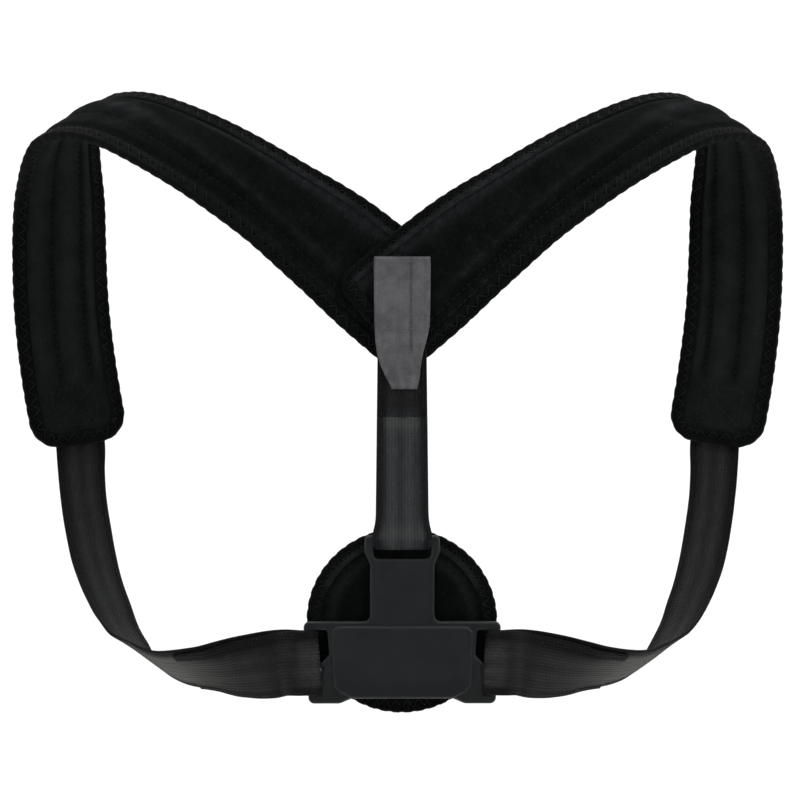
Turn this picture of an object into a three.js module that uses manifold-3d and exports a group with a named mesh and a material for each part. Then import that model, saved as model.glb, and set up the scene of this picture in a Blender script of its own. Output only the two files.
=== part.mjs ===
// A posture corrector in the form it has when worn, with +X to the wearer's right, +Y forwards and +Z up.
// Its origin is midway between the two shoulders, in line with the crests of the shoulder pads.
import * as THREE from "three";
import { mergeVertices } from "three/addons/utils/BufferGeometryUtils.js";
import Module from "manifold-3d";

// Driving dimensions, in millimetres

const HALF_SPAN = 185; // from the midline to the middle of a shoulder pad, where they stand widest apart
const BODY_DEPTH = 133; // from the yoke at the back to the front of the shoulder pads
const BACK_LENGTH = 277; // from the shoulder line down to the middle of the buckle's side slots
const PAD_WIDTH = 50;
const YOKE_FLARE = 3.5; // how much wider each half of a pad is at its end in the yoke
const PAD_THICKNESS = 7;
const PAD_CORNER_RADIUS = 14; // both lower corners of a pad
const YOKE_CORNER_RADIUS = 9; // the corners of a pad's other end, in the yoke
const LIP_THICKNESS = 2.4; // a pad's edge, pressed flat inside its binding
const TAPE_REACH = 6.5; // how far the binding covers each side of a pad
const TAPE_THICKNESS = 0.8;
const SIDE_WEBBING_WIDTH = 32;
const CENTRE_WEBBING_WIDTH = 28;
const WEBBING_THICKNESS = 1.6;
const SEWN_LENGTH = 34; // how far a side strap lies sewn on its pad
const SIDE_TAIL_LENGTH = 80; // the doubled back end of a side strap
const CENTRE_TAIL_LENGTH = 62; // the doubled back end of the centre strap
const TAB_LENGTH = 66;
const TAB_WIDTH = 28.5;
const TAB_THICKNESS = 1.4;
const TAB_DROP = 75; // from the shoulder line down to the tab's upper edge
const BUCKLE_THICKNESS = 4;
const BUCKLE_BEVEL = 1.2;
const BUCKLE_BODY_RISE = 1.8; // how far the buckle's middle stands out from its frame
const BUCKLE_BODY_WIDTH = 72;
const BUCKLE_STEM_WIDTH = 32;
const BUCKLE_STEM_LENGTH = 31; // from the buckle's middle part up to the top slot
const BUCKLE_ARM_WIDTH = 4; // the frame round each slot
const BAR_WIDTH = 4.5; // the bars that the webbing goes round
const SLOT_DAYLIGHT = 4.5; // the open width of a slot beside the webbing in it
const BACK_PAD_WIDTH = 93;
const BACK_PAD_HEIGHT = 90;
const BACK_PAD_THICKNESS = 9;
const SEAM_GAP = 0.3; // clearance between pieces that are sewn together or lie on each other
const SLOT_CLEARANCE = 0.6; // clearance at each end of the webbing in a slot

// Looks

const PAD_CLOTH = { color: 0x15191a, roughness: 0.95, metalness: 0 };
const BINDING_TAPE = { color: 0x0d0f10, roughness: 0.85, metalness: 0 };
const BLACK_WEBBING = { color: 0x1c1e1f, roughness: 0.7, metalness: 0 };
const GREY_WEBBING = { color: 0x36383a, roughness: 0.7, metalness: 0 };
const TAB_CLOTH = { color: 0x58585b, roughness: 0.8, metalness: 0 };
const PLASTIC = { color: 0x22262a, roughness: 0.45, metalness: 0 };

// Tables. The places in them are shares of HALF_SPAN, BODY_DEPTH and BACK_LENGTH, the last measured up from
// the shoulder line. An edge vector points from a band's neck edge to its armhole edge.

const BAND_COLUMNS = ["out", "forward", "up", "edgeOut", "edgeForward", "edgeUp"];
const SHOULDER_FORWARD = 0.51;
const PAD_ROWS = table(BAND_COLUMNS, [
  [-0.076, 0, -0.395, 0.65, 0, -0.76],
  [-0.003, 0, -0.353, 0.65, 0, -0.76],
  [0.07, 0, -0.312, 0.65, 0, -0.76],
  [0.175, 0, -0.252, 0.65, -0.03, -0.76],
  [0.331, 0.045, -0.173, 0.61, -0.34, -0.71],
  [0.518, 0.143, -0.09, 0.53, -0.53, -0.66],
  [0.674, 0.256, -0.033, 0.48, -0.64, -0.59],
  [0.759, 0.338, -0.008, 0.47, -0.7, -0.53],
  [0.834, 0.429, 0.004, 0.48, -0.73, -0.48],
  [0.899, 0.526, 0.004, 0.52, -0.73, -0.44],
  [0.946, 0.639, -0.01, 0.62, -0.67, -0.41],
  [0.974, 0.744, -0.046, 0.7, -0.59, -0.4],
  [0.985, 0.842, -0.094, 0.8, -0.48, -0.36],
  [0.989, 0.917, -0.158, 0.89, -0.37, -0.24],
  [0.992, 0.962, -0.235, 0.93, -0.33, -0.14],
  [0.987, 0.992, -0.352, 0.96, -0.28, -0.09],
  [0.965, 0.996, -0.479, 0.97, -0.22, -0.14],
  [0.927, 0.955, -0.611, 0.95, -0.28, -0.12],
]);
const SIDE_STRAP_ROWS = table(BAND_COLUMNS, [
  [0.927, 0.947, -0.662, 0.9, -0.42, 0.0],
  [0.917, 0.91, -0.724, 0.88, -0.48, 0.04],
  [0.9, 0.857, -0.781, 0.88, -0.47, 0.04],
  [0.878, 0.789, -0.838, 0.86, -0.5, 0.04],
  [0.858, 0.737, -0.875, 0.82, -0.56, 0.05],
  [0.833, 0.684, -0.911, 0.78, -0.61, 0.08],
  [0.805, 0.624, -0.948, 0.75, -0.65, 0.11],
  [0.766, 0.549, -0.983, 0.72, -0.68, 0.15],
  [0.711, 0.451, -1.007, 0.64, -0.7, 0.3],
  [0.636, 0.346, -1.022, 0.54, -0.66, 0.53],
  [0.527, 0.233, -1.022, 0.44, -0.54, 0.72],
  [0.414, 0.12, -1.011, 0.28, -0.22, 0.93],
  [0.316, 0.0, -1.0, 0.08, 0.0, 1.0],
]);

// The pad's section between its two lips, from its neck edge to its armhole edge: where each point stands,
// and how high the outer and the inner side stand there, as shares of the crown. The inner side has two
// sewn channels.
const CROWN = table(["at", "outer", "inner"], [
  [0.0, 0.0, 0.0],
  [0.08, 0.72, 0.62],
  [0.24, 0.95, 1.0],
  [0.3, 0.98, 0.7],
  [0.37, 1.0, 1.0],
  [0.59, 1.15, 1.0],
  [0.65, 1.05, 0.7],
  [0.72, 0.92, 1.0],
  [0.92, 0.72, 0.62],
  [1.0, 0.0, 0.0],
]);
const HIGHEST_CROWN = Math.max(...CROWN.map((row) => row.outer));
const YOKE_CROWN = 0.45; // the pads are pressed flatter where they are sewn together
const SEWN_CROWN = 0.38; // and where the side straps are sewn on

// Sizes that follow

const HALF_LIP = LIP_THICKNESS / 2;
const TAPE_INSIDE = HALF_LIP + SEAM_GAP;
const TAPE_OUTSIDE = TAPE_INSIDE + TAPE_THICKNESS;
const CROWN_HEIGHT = (PAD_THICKNESS - LIP_THICKNESS) / 2;
const YOKE_HALF_THICKNESS = Math.max(HALF_LIP + YOKE_CROWN * HIGHEST_CROWN * CROWN_HEIGHT, TAPE_OUTSIDE);
const SEWN_HALF_THICKNESS = Math.max(HALF_LIP + SEWN_CROWN * HIGHEST_CROWN * CROWN_HEIGHT, TAPE_OUTSIDE);
const LAP = YOKE_HALF_THICKNESS + SEAM_GAP / 2; // the yoke's middle plane to the middle of each pad
const LAYER = WEBBING_THICKNESS + SEAM_GAP; // from one layer of webbing to the next
const YOKE_PLANE = -SHOULDER_FORWARD * BODY_DEPTH;
const WEBBING_PLANE = YOKE_PLANE - LAP - YOKE_HALF_THICKNESS - SEAM_GAP - WEBBING_THICKNESS / 2;
const TURN_RADIUS = BUCKLE_THICKNESS / 2 + SEAM_GAP + WEBBING_THICKNESS / 2; // webbing round a bar
const BUCKLE_PLANE = WEBBING_PLANE - TURN_RADIUS;
const BUCKLE_SEAT = WEBBING_THICKNESS + SEAM_GAP; // its middle reaches past the webbing to the back pad
const SLOT_WIDTH = TURN_RADIUS + WEBBING_THICKNESS / 2 - BUCKLE_BEVEL + SLOT_DAYLIGHT;
const SIDE_SLOT_LENGTH = SIDE_WEBBING_WIDTH + 2 * SLOT_CLEARANCE;
const TOP_SLOT_LENGTH = CENTRE_WEBBING_WIDTH + 2 * SLOT_CLEARANCE;
const BUCKLE_FRAME_HEIGHT = SIDE_SLOT_LENGTH + 2 * BUCKLE_ARM_WIDTH;
const SIDE_BAR_INNER_EDGE = BUCKLE_BODY_WIDTH / 2 + SLOT_WIDTH;
const TOP_BAR_LOWER_EDGE = BUCKLE_FRAME_HEIGHT / 2 + BUCKLE_STEM_LENGTH + SLOT_WIDTH;

// Names the columns of a table's rows.
function table(columns, rows) {
  return rows.map((row) => Object.fromEntries(columns.map((column, i) => [column, row[i]])));
}

const smoothStep = (x, start, end) => THREE.MathUtils.smoothstep(x, start, end);

// A closed body from rings of equally many points. A ring holds the points of one side and then those of the
// other side in the opposite order, so that an end is closed by a strip between the two sides.
function loft(rings, looped = false) {
  const size = rings[0].length;
  const triangles = [];
  const quad = (a, b, c, d) => triangles.push(a, b, c, a, c, d);
  const last = looped ? rings.length : rings.length - 1;
  for (let i = 0; i < last; i++) {
    const here = i * size;
    const next = ((i + 1) % rings.length) * size;
    for (let j = 0; j < size; j++) {
      const k = (j + 1) % size;
      quad(here + j, here + k, next + k, next + j);
    }
  }
  if (!looped) {
    const end = (rings.length - 1) * size;
    for (let j = 0; j + 1 < size / 2; j++) {
      quad(j, size - 1 - j, size - 2 - j, j + 1);
      quad(end + j, end + j + 1, end + size - 2 - j, end + size - 1 - j);
    }
  }
  return closedBody(rings.flat(), triangles);
}

// Turns the faces of a closed body outwards.
function closedBody(points, triangles) {
  let volume = 0;
  for (let i = 0; i < triangles.length; i += 3) {
    const [a, b, c] = [points[triangles[i]], points[triangles[i + 1]], points[triangles[i + 2]]];
    volume += a.dot(b.clone().cross(c));
  }
  if (volume < 0) triangles.reverse();
  const geometry = new THREE.BufferGeometry().setFromPoints(points);
  geometry.setIndex(triangles);
  geometry.computeVertexNormals();
  return geometry;
}

// Bands: a band is a path with a frame at each share of its length. A frame holds the middle of the band,
// the direction along it, the direction across it towards the armhole, and the direction out of its outer side.

function frameFrom(centre, along, edge, side) {
  const across = edge.clone().addScaledVector(along, -edge.dot(along)).normalize();
  const outward = along.clone().cross(across).multiplyScalar(-side).normalize();
  return { centre, along, across, outward };
}

function bandThrough(centres, edges, side) {
  const middle = new THREE.CatmullRomCurve3(centres);
  const turning = new THREE.CatmullRomCurve3(edges);
  middle.arcLengthDivisions = 600;
  return {
    length: middle.getLength(),
    frame(share) {
      const t = middle.getUtoTmapping(share);
      return frameFrom(middle.getPoint(t), middle.getTangent(t), turning.getPoint(t), side);
    },
  };
}

const rowPlace = (row, side) =>
  new THREE.Vector3(
    side * row.out * HALF_SPAN,
    (row.forward - SHOULDER_FORWARD) * BODY_DEPTH,
    row.up * BACK_LENGTH,
  );
const rowEdge = (row, side) => new THREE.Vector3(side * row.edgeOut, row.edgeForward, row.edgeUp);

// A point of a band, off its middle by a distance across and a height above its outer side.
const bandPoint = (frame, across, height) =>
  frame.centre.clone().addScaledVector(frame.across, across).addScaledVector(frame.outward, height);

// The shoulder pads

const LAP_ENDS = { full: 0.24, none: 0.5 }; // out from the midline, as shares of HALF_SPAN

// The path of a pad's middle. The right pad laps over the left one in the yoke.
function padBand(side) {
  const lapped = (row) => 1 - smoothStep(row.out, LAP_ENDS.full, LAP_ENDS.none);
  const centres = PAD_ROWS.map((row) => {
    const place = rowPlace(row, side);
    place.y -= side * LAP * lapped(row);
    return place;
  });
  return bandThrough(centres, PAD_ROWS.map((row) => rowEdge(row, side)), side);
}

const ARC_STEPS = [0, 0.134, 0.5, 1]; // distances into a rounded corner, as shares of its radius
const PAD_STATIONS = 27; // between the rounded ends

// Distances along a pad at which it has a section.
function padStations(length) {
  const start = ARC_STEPS.map((share) => share * YOKE_CORNER_RADIUS);
  const end = ARC_STEPS.map((share) => length - share * PAD_CORNER_RADIUS).reverse();
  const reach = end[0] - YOKE_CORNER_RADIUS;
  const middle = [];
  for (let i = 1; i < PAD_STATIONS; i++) {
    middle.push(YOKE_CORNER_RADIUS + (reach * i) / PAD_STATIONS);
  }
  return [...start, ...middle, ...end];
}

// Half of a pad's width at a distance from an end with rounded corners.
function halfWidthNear(distance, radius) {
  const into = Math.max(0, radius - distance);
  return PAD_WIDTH / 2 - radius + Math.sqrt(radius * radius - into * into);
}

const FLARE_ENDS = { full: 20, none: 110 }; // distances from the yoke end

function padHalfWidth(at, length) {
  const flare = YOKE_FLARE * (1 - smoothStep(at, FLARE_ENDS.full, FLARE_ENDS.none));
  const nearYoke = halfWidthNear(at, YOKE_CORNER_RADIUS);
  const nearEnd = halfWidthNear(length - at, PAD_CORNER_RADIUS);
  return flare + Math.min(nearYoke, nearEnd);
}

const LIP_MARGIN = 0.8; // bare lip between the binding and the crown
const WIDEST_LIP = 0.6; // of the pad's half width, in its rounded ends
const CROWN_RISE = 8; // how far in from an end's lip the crown is whole
const YOKE_SPREAD = { flat: 88, full: 130 }; // distances from the yoke end over which the pad fills out
const SEWN_SPREAD = { flat: 3, full: 22 }; // the same, past the sewn end of a side strap

// The crown left at a distance along a pad, as a share of CROWN_HEIGHT.
function crownShare(at, length) {
  const fromEnd = Math.min(at, length - at);
  const lip = TAPE_REACH + LIP_MARGIN;
  const rise = smoothStep(fromEnd, lip, lip + CROWN_RISE);
  const yoke = THREE.MathUtils.lerp(YOKE_CROWN, 1, smoothStep(at, YOKE_SPREAD.flat, YOKE_SPREAD.full));
  const pastStrap = length - at - SEWN_LENGTH;
  const sewnEnd = smoothStep(pastStrap, SEWN_SPREAD.flat, SEWN_SPREAD.full);
  return rise * Math.min(yoke, THREE.MathUtils.lerp(SEWN_CROWN, 1, sewnEnd));
}

function padSection(band, at) {
  const frame = band.frame(at / band.length);
  const half = padHalfWidth(at, band.length);
  const crown = crownShare(at, band.length) * CROWN_HEIGHT;
  const lip = Math.min(TAPE_REACH + LIP_MARGIN, half * WIDEST_LIP);
  const columns = [{ across: -half, outer: HALF_LIP, inner: HALF_LIP }];
  for (const { at: share, outer, inner } of CROWN) {
    columns.push({
      across: THREE.MathUtils.lerp(lip - half, half - lip, share),
      outer: HALF_LIP + outer * crown,
      inner: HALF_LIP + inner * crown,
    });
  }
  columns.push({ across: half, outer: HALF_LIP, inner: HALF_LIP });
  const outerSide = columns.map((column) => bandPoint(frame, column.across, column.outer));
  const innerSide = columns.map((column) => bandPoint(frame, column.across, -column.inner));
  return [...outerSide, ...innerSide.reverse()];
}

const shoulderPad = (side) => {
  const band = padBand(side);
  return loft(padStations(band.length).map((at) => padSection(band, at)));
};

// Binding tape: a U round an edge, given by points out from the edge and above its middle plane.

const TAPE_BACK = SEAM_GAP + TAPE_THICKNESS;
const TAPE_ROUNDING = 0.45;
const TAPE_SECTION = [
  [-TAPE_REACH, TAPE_INSIDE],
  [SEAM_GAP, TAPE_INSIDE],
  [SEAM_GAP, -TAPE_INSIDE],
  [-TAPE_REACH, -TAPE_INSIDE],
  [-TAPE_REACH, -TAPE_OUTSIDE],
  [SEAM_GAP, -TAPE_OUTSIDE],
  [TAPE_BACK, -TAPE_OUTSIDE * TAPE_ROUNDING],
  [TAPE_BACK, TAPE_OUTSIDE * TAPE_ROUNDING],
  [SEAM_GAP, TAPE_OUTSIDE],
  [-TAPE_REACH, TAPE_OUTSIDE],
];

// Tape round a closed line of edge points. Each has the direction away from the cloth in its face, and the
// direction out of that face.
const bindingTape = (edge) =>
  loft(
    edge.map(({ point, away, outward }) =>
      TAPE_SECTION.map(([out, height]) =>
        point.clone().addScaledVector(away, out).addScaledVector(outward, height),
      ),
    ),
    true,
  );

const END_STEPS = [0.5, 0, -0.5]; // points across a pad's straight end, as shares of its half width

function padBinding(side) {
  const band = padBand(side);
  const edgePoint = (at, across, lengthwise) => {
    const frame = band.frame(at / band.length);
    const crosswise = Math.sqrt(1 - lengthwise * lengthwise) * Math.sign(across);
    const away = frame.across.clone().multiplyScalar(crosswise).addScaledVector(frame.along, lengthwise);
    return { point: bandPoint(frame, across, 0), away, outward: frame.outward };
  };
  // How far the outline's normal leans towards an end, inside a rounded corner.
  const lean = (at) =>
    Math.max(0, 1 - (band.length - at) / PAD_CORNER_RADIUS) - Math.max(0, 1 - at / YOKE_CORNER_RADIUS);
  const longEdge = (direction) =>
    padStations(band.length).map((at) => edgePoint(at, direction * padHalfWidth(at, band.length), lean(at)));
  const shortEdge = (at, direction, lengthwise) =>
    END_STEPS.map((share) =>
      edgePoint(at, direction * share * padHalfWidth(at, band.length), lengthwise),
    );
  return bindingTape([
    ...longEdge(1),
    ...shortEdge(band.length, 1, 1),
    ...longEdge(-1).reverse(),
    ...shortEdge(0, -1, -1),
  ]);
}

// Webbing

const SELVEDGE = 0.8; // the thinner edge of the webbing
const SELVEDGE_SHARE = 0.6; // its thickness, as a share of the webbing's

function webbingSection(frame, width) {
  const half = width / 2;
  const columns = [-half, SELVEDGE - half, half - SELVEDGE, half];
  const height = (i) => (WEBBING_THICKNESS / 2) * (i === 0 || i === 3 ? SELVEDGE_SHARE : 1);
  const outerSide = columns.map((across, i) => bandPoint(frame, across, height(i)));
  const innerSide = columns.map((across, i) => bandPoint(frame, across, -height(i)));
  return [...outerSide, ...innerSide.reverse()];
}

// Frames along a run of middle points, each with its edge direction.
function framesAlong(run, side) {
  return run.map(({ point, edge, width }, i) => {
    const before = run[Math.max(0, i - 1)].point;
    const after = run[Math.min(run.length - 1, i + 1)].point;
    const frame = frameFrom(point, after.clone().sub(before).normalize(), edge, side);
    return { ...frame, width };
  });
}

const TURN_STEPS = 8;
const SETTLE_LENGTH = 20; // how far from a bar the doubled back layer lies down on the other

// A turn round a bar. The webbing comes in along inward, behind the bar, and leaves in front of it.
function turnRoundBar(centre, inward, edge) {
  const front = new THREE.Vector3(0, -1, 0);
  const run = [];
  for (let i = 0; i <= TURN_STEPS; i++) {
    const angle = (Math.PI * i) / TURN_STEPS;
    const point = centre.clone();
    point.addScaledVector(inward, TURN_RADIUS * Math.sin(angle));
    point.addScaledVector(front, -TURN_RADIUS * Math.cos(angle));
    run.push({ point, edge });
  }
  return run;
}

// The side straps

const SEWN_POINTS = 5;
const SIDE_STATIONS = 34;
const TAIL_STATIONS = 14;
const UPWARD = new THREE.Vector3(0, 0, 1);

function sideStrap(side) {
  const pad = padBand(side);
  const lift = SEWN_HALF_THICKNESS + SEAM_GAP + WEBBING_THICKNESS / 2;
  const sewn = [];
  for (let i = 0; i < SEWN_POINTS; i++) {
    const at = pad.length - SEWN_LENGTH * (1 - i / (SEWN_POINTS - 1));
    const frame = pad.frame(at / pad.length);
    sewn.push({ point: bandPoint(frame, 0, lift), edge: frame.across });
  }
  const free = SIDE_STRAP_ROWS.map((row) => ({ point: rowPlace(row, side), edge: rowEdge(row, side) }));
  const slotHeight = -BACK_LENGTH;
  const barOut = SIDE_BAR_INNER_EDGE + BUCKLE_BEVEL;
  const nearBar = [barOut + BAR_WIDTH, barOut].map((out) => ({
    point: new THREE.Vector3(side * out, WEBBING_PLANE, slotHeight),
    edge: UPWARD,
  }));
  const points = [...sewn, ...free, ...nearBar];
  const base = bandThrough(points.map(({ point }) => point), points.map(({ edge }) => edge), side);
  const run = [];
  for (let i = 0; i < SIDE_STATIONS; i++) {
    const frame = base.frame(i / SIDE_STATIONS);
    run.push({ point: frame.centre, edge: frame.across });
  }
  const barCentre = new THREE.Vector3(side * barOut, BUCKLE_PLANE, slotHeight);
  run.push(...turnRoundBar(barCentre, new THREE.Vector3(-side, 0, 0), UPWARD));
  for (let i = 1; i <= TAIL_STATIONS; i++) {
    const back = (SIDE_TAIL_LENGTH * i) / TAIL_STATIONS;
    const frame = base.frame(1 - back / base.length);
    const height = THREE.MathUtils.lerp(2 * TURN_RADIUS, LAYER, smoothStep(back, BAR_WIDTH, SETTLE_LENGTH));
    run.push({ point: bandPoint(frame, 0, height), edge: frame.across });
  }
  return loft(framesAlong(run, side).map((frame) => webbingSection(frame, SIDE_WEBBING_WIDTH)));
}

// The centre strap and the tab over its upper end

const TAB_MARGIN = 2; // how far the tab reaches past the strap's upper end
const NARROWING = 0.9; // the strap's width where it is sewn to the yoke
const CENTRE_STEPS = 8;
const RIGHTWARD = new THREE.Vector3(1, 0, 0);

function centreStrap() {
  const barHeight = -BACK_LENGTH + TOP_BAR_LOWER_EDGE + BUCKLE_BEVEL;
  const top = -TAB_DROP - TAB_MARGIN;
  const widthAt = (up) =>
    CENTRE_WEBBING_WIDTH * THREE.MathUtils.lerp(1, NARROWING, (up - barHeight) / (top - barHeight));
  const run = [];
  for (let i = 0; i < CENTRE_STEPS; i++) {
    const up = THREE.MathUtils.lerp(top, barHeight, i / CENTRE_STEPS);
    run.push({ point: new THREE.Vector3(0, WEBBING_PLANE, up), edge: RIGHTWARD });
  }
  const barCentre = new THREE.Vector3(0, BUCKLE_PLANE, barHeight);
  run.push(...turnRoundBar(barCentre, new THREE.Vector3(0, 0, -1), RIGHTWARD));
  for (let i = 1; i <= CENTRE_STEPS; i++) {
    const back = (CENTRE_TAIL_LENGTH * i) / CENTRE_STEPS;
    const height = THREE.MathUtils.lerp(2 * TURN_RADIUS, LAYER, smoothStep(back, BAR_WIDTH, SETTLE_LENGTH));
    run.push({ point: new THREE.Vector3(0, WEBBING_PLANE - height, barHeight + back), edge: RIGHTWARD });
  }
  const frames = framesAlong(run, 1);
  return loft(frames.map((frame) => webbingSection(frame, widthAt(frame.centre.z))));
}

const TAB_BEVEL = 0.4;
const TAB_TAPER = 2; // how much narrower its lower end is on each side
const TAB_TAPER_START = 0.6; // as a share of the tab's length

function centreTab() {
  const half = TAB_WIDTH / 2;
  const shape = new THREE.Shape();
  shape.moveTo(-half, 0);
  shape.lineTo(-half, -TAB_LENGTH * TAB_TAPER_START);
  shape.lineTo(TAB_TAPER - half, -TAB_LENGTH);
  shape.lineTo(half - TAB_TAPER, -TAB_LENGTH);
  shape.lineTo(half, -TAB_LENGTH * TAB_TAPER_START);
  shape.lineTo(half, 0);
  const plane = WEBBING_PLANE - WEBBING_THICKNESS / 2 - SEAM_GAP - TAB_THICKNESS / 2;
  return upright(plate(shape, TAB_THICKNESS, TAB_BEVEL), plane, -TAB_DROP);
}

// Plates

// A flat plate with bevelled edges, its middle plane at zero.
function plate(shape, thickness, bevel, curveSegments = 4) {
  const geometry = new THREE.ExtrudeGeometry(shape, {
    depth: thickness - 2 * bevel,
    bevelThickness: bevel,
    bevelSize: bevel,
    bevelOffset: -bevel,
    bevelSegments: 1,
    curveSegments,
  });
  return geometry.translate(0, 0, bevel - thickness / 2);
}

// Stands a plate upright, facing backwards, with its middle plane at forward and its zero at up.
const upright = (geometry, forward, up) => geometry.rotateX(Math.PI / 2).translate(0, forward, up);

// A closed outline with rounded corners, from a table of corners and their radii.
function roundedOutline(corners, outline = new THREE.Path()) {
  const count = corners.length;
  const at = ([x, y]) => new THREE.Vector2(x, y);
  corners.forEach((corner, i) => {
    const here = at(corner);
    const before = at(corners[(i + count - 1) % count]).sub(here).normalize();
    const after = at(corners[(i + 1) % count]).sub(here).normalize();
    const setback = corner[2] / Math.tan(Math.acos(before.dot(after)) / 2);
    const start = here.clone().addScaledVector(before, setback);
    const end = here.clone().addScaledVector(after, setback);
    if (i === 0) outline.moveTo(start.x, start.y);
    else outline.lineTo(start.x, start.y);
    outline.quadraticCurveTo(here.x, here.y, end.x, end.y);
  });
  outline.closePath();
  return outline;
}

const rectangle = (left, right, bottom, top, radius) => [
  [left, bottom, radius],
  [right, bottom, radius],
  [right, top, radius],
  [left, top, radius],
];

// The buckle

const BODY_CORNER_RADIUS = 5;
const STEM_FILLET = 2;
const SLOT_RADIUS = 1.2;
const BODY_INSET = 2; // from the frame to the raised middle, above and below

function buckle() {
  const outerEdge = SIDE_BAR_INNER_EDGE + BAR_WIDTH;
  const frameTop = BUCKLE_FRAME_HEIGHT / 2;
  const stemTop = frameTop + BUCKLE_STEM_LENGTH;
  const topEdge = TOP_BAR_LOWER_EDGE + BAR_WIDTH;
  const headHalf = TOP_SLOT_LENGTH / 2 + BUCKLE_ARM_WIDTH;
  const stemHalf = BUCKLE_STEM_WIDTH / 2;
  const rightHalf = [
    [outerEdge, -frameTop, BODY_CORNER_RADIUS],
    [outerEdge, frameTop, BODY_CORNER_RADIUS],
    [stemHalf, frameTop, STEM_FILLET],
    [stemHalf, stemTop - BUCKLE_ARM_WIDTH, STEM_FILLET],
    [headHalf, stemTop + BUCKLE_ARM_WIDTH, STEM_FILLET],
    [headHalf, topEdge, BUCKLE_ARM_WIDTH / 2],
  ];
  const leftHalf = rightHalf.map(([x, y, radius]) => [-x, y, radius]).reverse();
  const shape = roundedOutline([...rightHalf, ...leftHalf], new THREE.Shape());
  const slotHalf = SIDE_SLOT_LENGTH / 2;
  const bodyHalf = BUCKLE_BODY_WIDTH / 2;
  const topHalf = TOP_SLOT_LENGTH / 2;
  shape.holes.push(
    roundedOutline(rectangle(bodyHalf, SIDE_BAR_INNER_EDGE, -slotHalf, slotHalf, SLOT_RADIUS)),
    roundedOutline(rectangle(-SIDE_BAR_INNER_EDGE, -bodyHalf, -slotHalf, slotHalf, SLOT_RADIUS)),
    roundedOutline(rectangle(-topHalf, topHalf, stemTop, TOP_BAR_LOWER_EDGE, SLOT_RADIUS)),
  );
  const frame = plate(shape, BUCKLE_THICKNESS, BUCKLE_BEVEL, 3);
  const riseHalf = frameTop - BODY_INSET;
  const raised = new THREE.Shape();
  roundedOutline(rectangle(-bodyHalf, bodyHalf, -riseHalf, riseHalf, BODY_CORNER_RADIUS), raised);
  const body = plate(raised, BUCKLE_THICKNESS + BUCKLE_BODY_RISE + BUCKLE_SEAT, BUCKLE_BEVEL);
  body.translate(0, 0, (BUCKLE_BODY_RISE - BUCKLE_SEAT) / 2);
  return upright(joined(frame, body), BUCKLE_PLANE, -BACK_LENGTH);
}

const wasm = await Module();
wasm.setup();

const MERGE_DISTANCE = 1e-4;

// One solid from two geometries that overlap.
function joined(...geometries) {
  const solids = geometries.map((geometry) => {
    const bare = geometry.clone().deleteAttribute("normal").deleteAttribute("uv");
    const merged = mergeVertices(bare, MERGE_DISTANCE);
    const vertProperties = merged.attributes.position.array;
    const triVerts = new Uint32Array(merged.index.array);
    return new wasm.Manifold(new wasm.Mesh({ numProp: 3, vertProperties, triVerts }));
  });
  const mesh = solids.reduce((sum, solid) => sum.add(solid)).getMesh();
  const geometry = new THREE.BufferGeometry();
  geometry.setAttribute("position", new THREE.BufferAttribute(mesh.vertProperties, 3));
  geometry.setIndex(new THREE.BufferAttribute(mesh.triVerts, 1));
  geometry.computeVertexNormals();
  return geometry;
}

// The round back pad behind the buckle

const BACK_PAD_CENTRE_RISE = 20.5; // above the middle of the buckle's side slots
const BACK_PAD_POINTS = 44;
const BACK_PAD_PLANE = WEBBING_PLANE + WEBBING_THICKNESS / 2 + SEAM_GAP + BACK_PAD_THICKNESS / 2;
const BACK_PAD_CROWN = (BACK_PAD_THICKNESS - LIP_THICKNESS) / 2;
// Rings from the middle out, as shares of the way to the lip's inner edge and of the crown.
const BACK_PAD_RINGS = table(["reach", "height"], [
  [0.62, 1],
  [0.86, 0.86],
  [0.96, 0.5],
  [1, 0],
]);

// A point of an oval about the back pad's middle, a distance in from its edge.
function backPadPoint(i, inset, forward) {
  const angle = (2 * Math.PI * i) / BACK_PAD_POINTS;
  return new THREE.Vector3(
    (BACK_PAD_WIDTH / 2 - inset) * Math.cos(angle),
    BACK_PAD_PLANE + forward,
    (BACK_PAD_HEIGHT / 2 - inset) * Math.sin(angle) - BACK_LENGTH + BACK_PAD_CENTRE_RISE,
  );
}

function backPad() {
  const lip = TAPE_REACH + LIP_MARGIN;
  const reach = BACK_PAD_WIDTH / 2 - lip;
  const oneSide = BACK_PAD_RINGS.map((row) => ({
    inset: lip + reach * (1 - row.reach),
    forward: HALF_LIP + row.height * BACK_PAD_CROWN,
  }));
  oneSide.push({ inset: 0, forward: HALF_LIP });
  const otherSide = oneSide.map(({ inset, forward }) => ({ inset, forward: -forward })).reverse();
  const points = [];
  const triangles = [];
  const levels = [...oneSide, ...otherSide];
  for (const { inset, forward } of levels) {
    for (let i = 0; i < BACK_PAD_POINTS; i++) points.push(backPadPoint(i, inset, forward));
  }
  for (let level = 0; level + 1 < levels.length; level++) {
    for (let i = 0; i < BACK_PAD_POINTS; i++) {
      const a = level * BACK_PAD_POINTS + i;
      const b = level * BACK_PAD_POINTS + ((i + 1) % BACK_PAD_POINTS);
      triangles.push(a, b, b + BACK_PAD_POINTS, a, b + BACK_PAD_POINTS, a + BACK_PAD_POINTS);
    }
  }
  const end = (levels.length - 1) * BACK_PAD_POINTS;
  for (let i = 1; i + 1 < BACK_PAD_POINTS; i++) {
    triangles.push(0, i + 1, i);
    triangles.push(end, end + i, end + i + 1);
  }
  return closedBody(points, triangles);
}

function backPadBinding() {
  const edge = [];
  const outward = new THREE.Vector3(0, -1, 0);
  for (let i = 0; i < BACK_PAD_POINTS; i++) {
    const point = backPadPoint(i, 0, 0);
    const away = point.clone().sub(backPadPoint(i, 1, 0)).normalize();
    edge.push({ point, away, outward });
  }
  return bindingTape(edge);
}

// The assembly

const SIDES = { left: -1, right: 1 };
const corrector = new THREE.Group();

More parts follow.
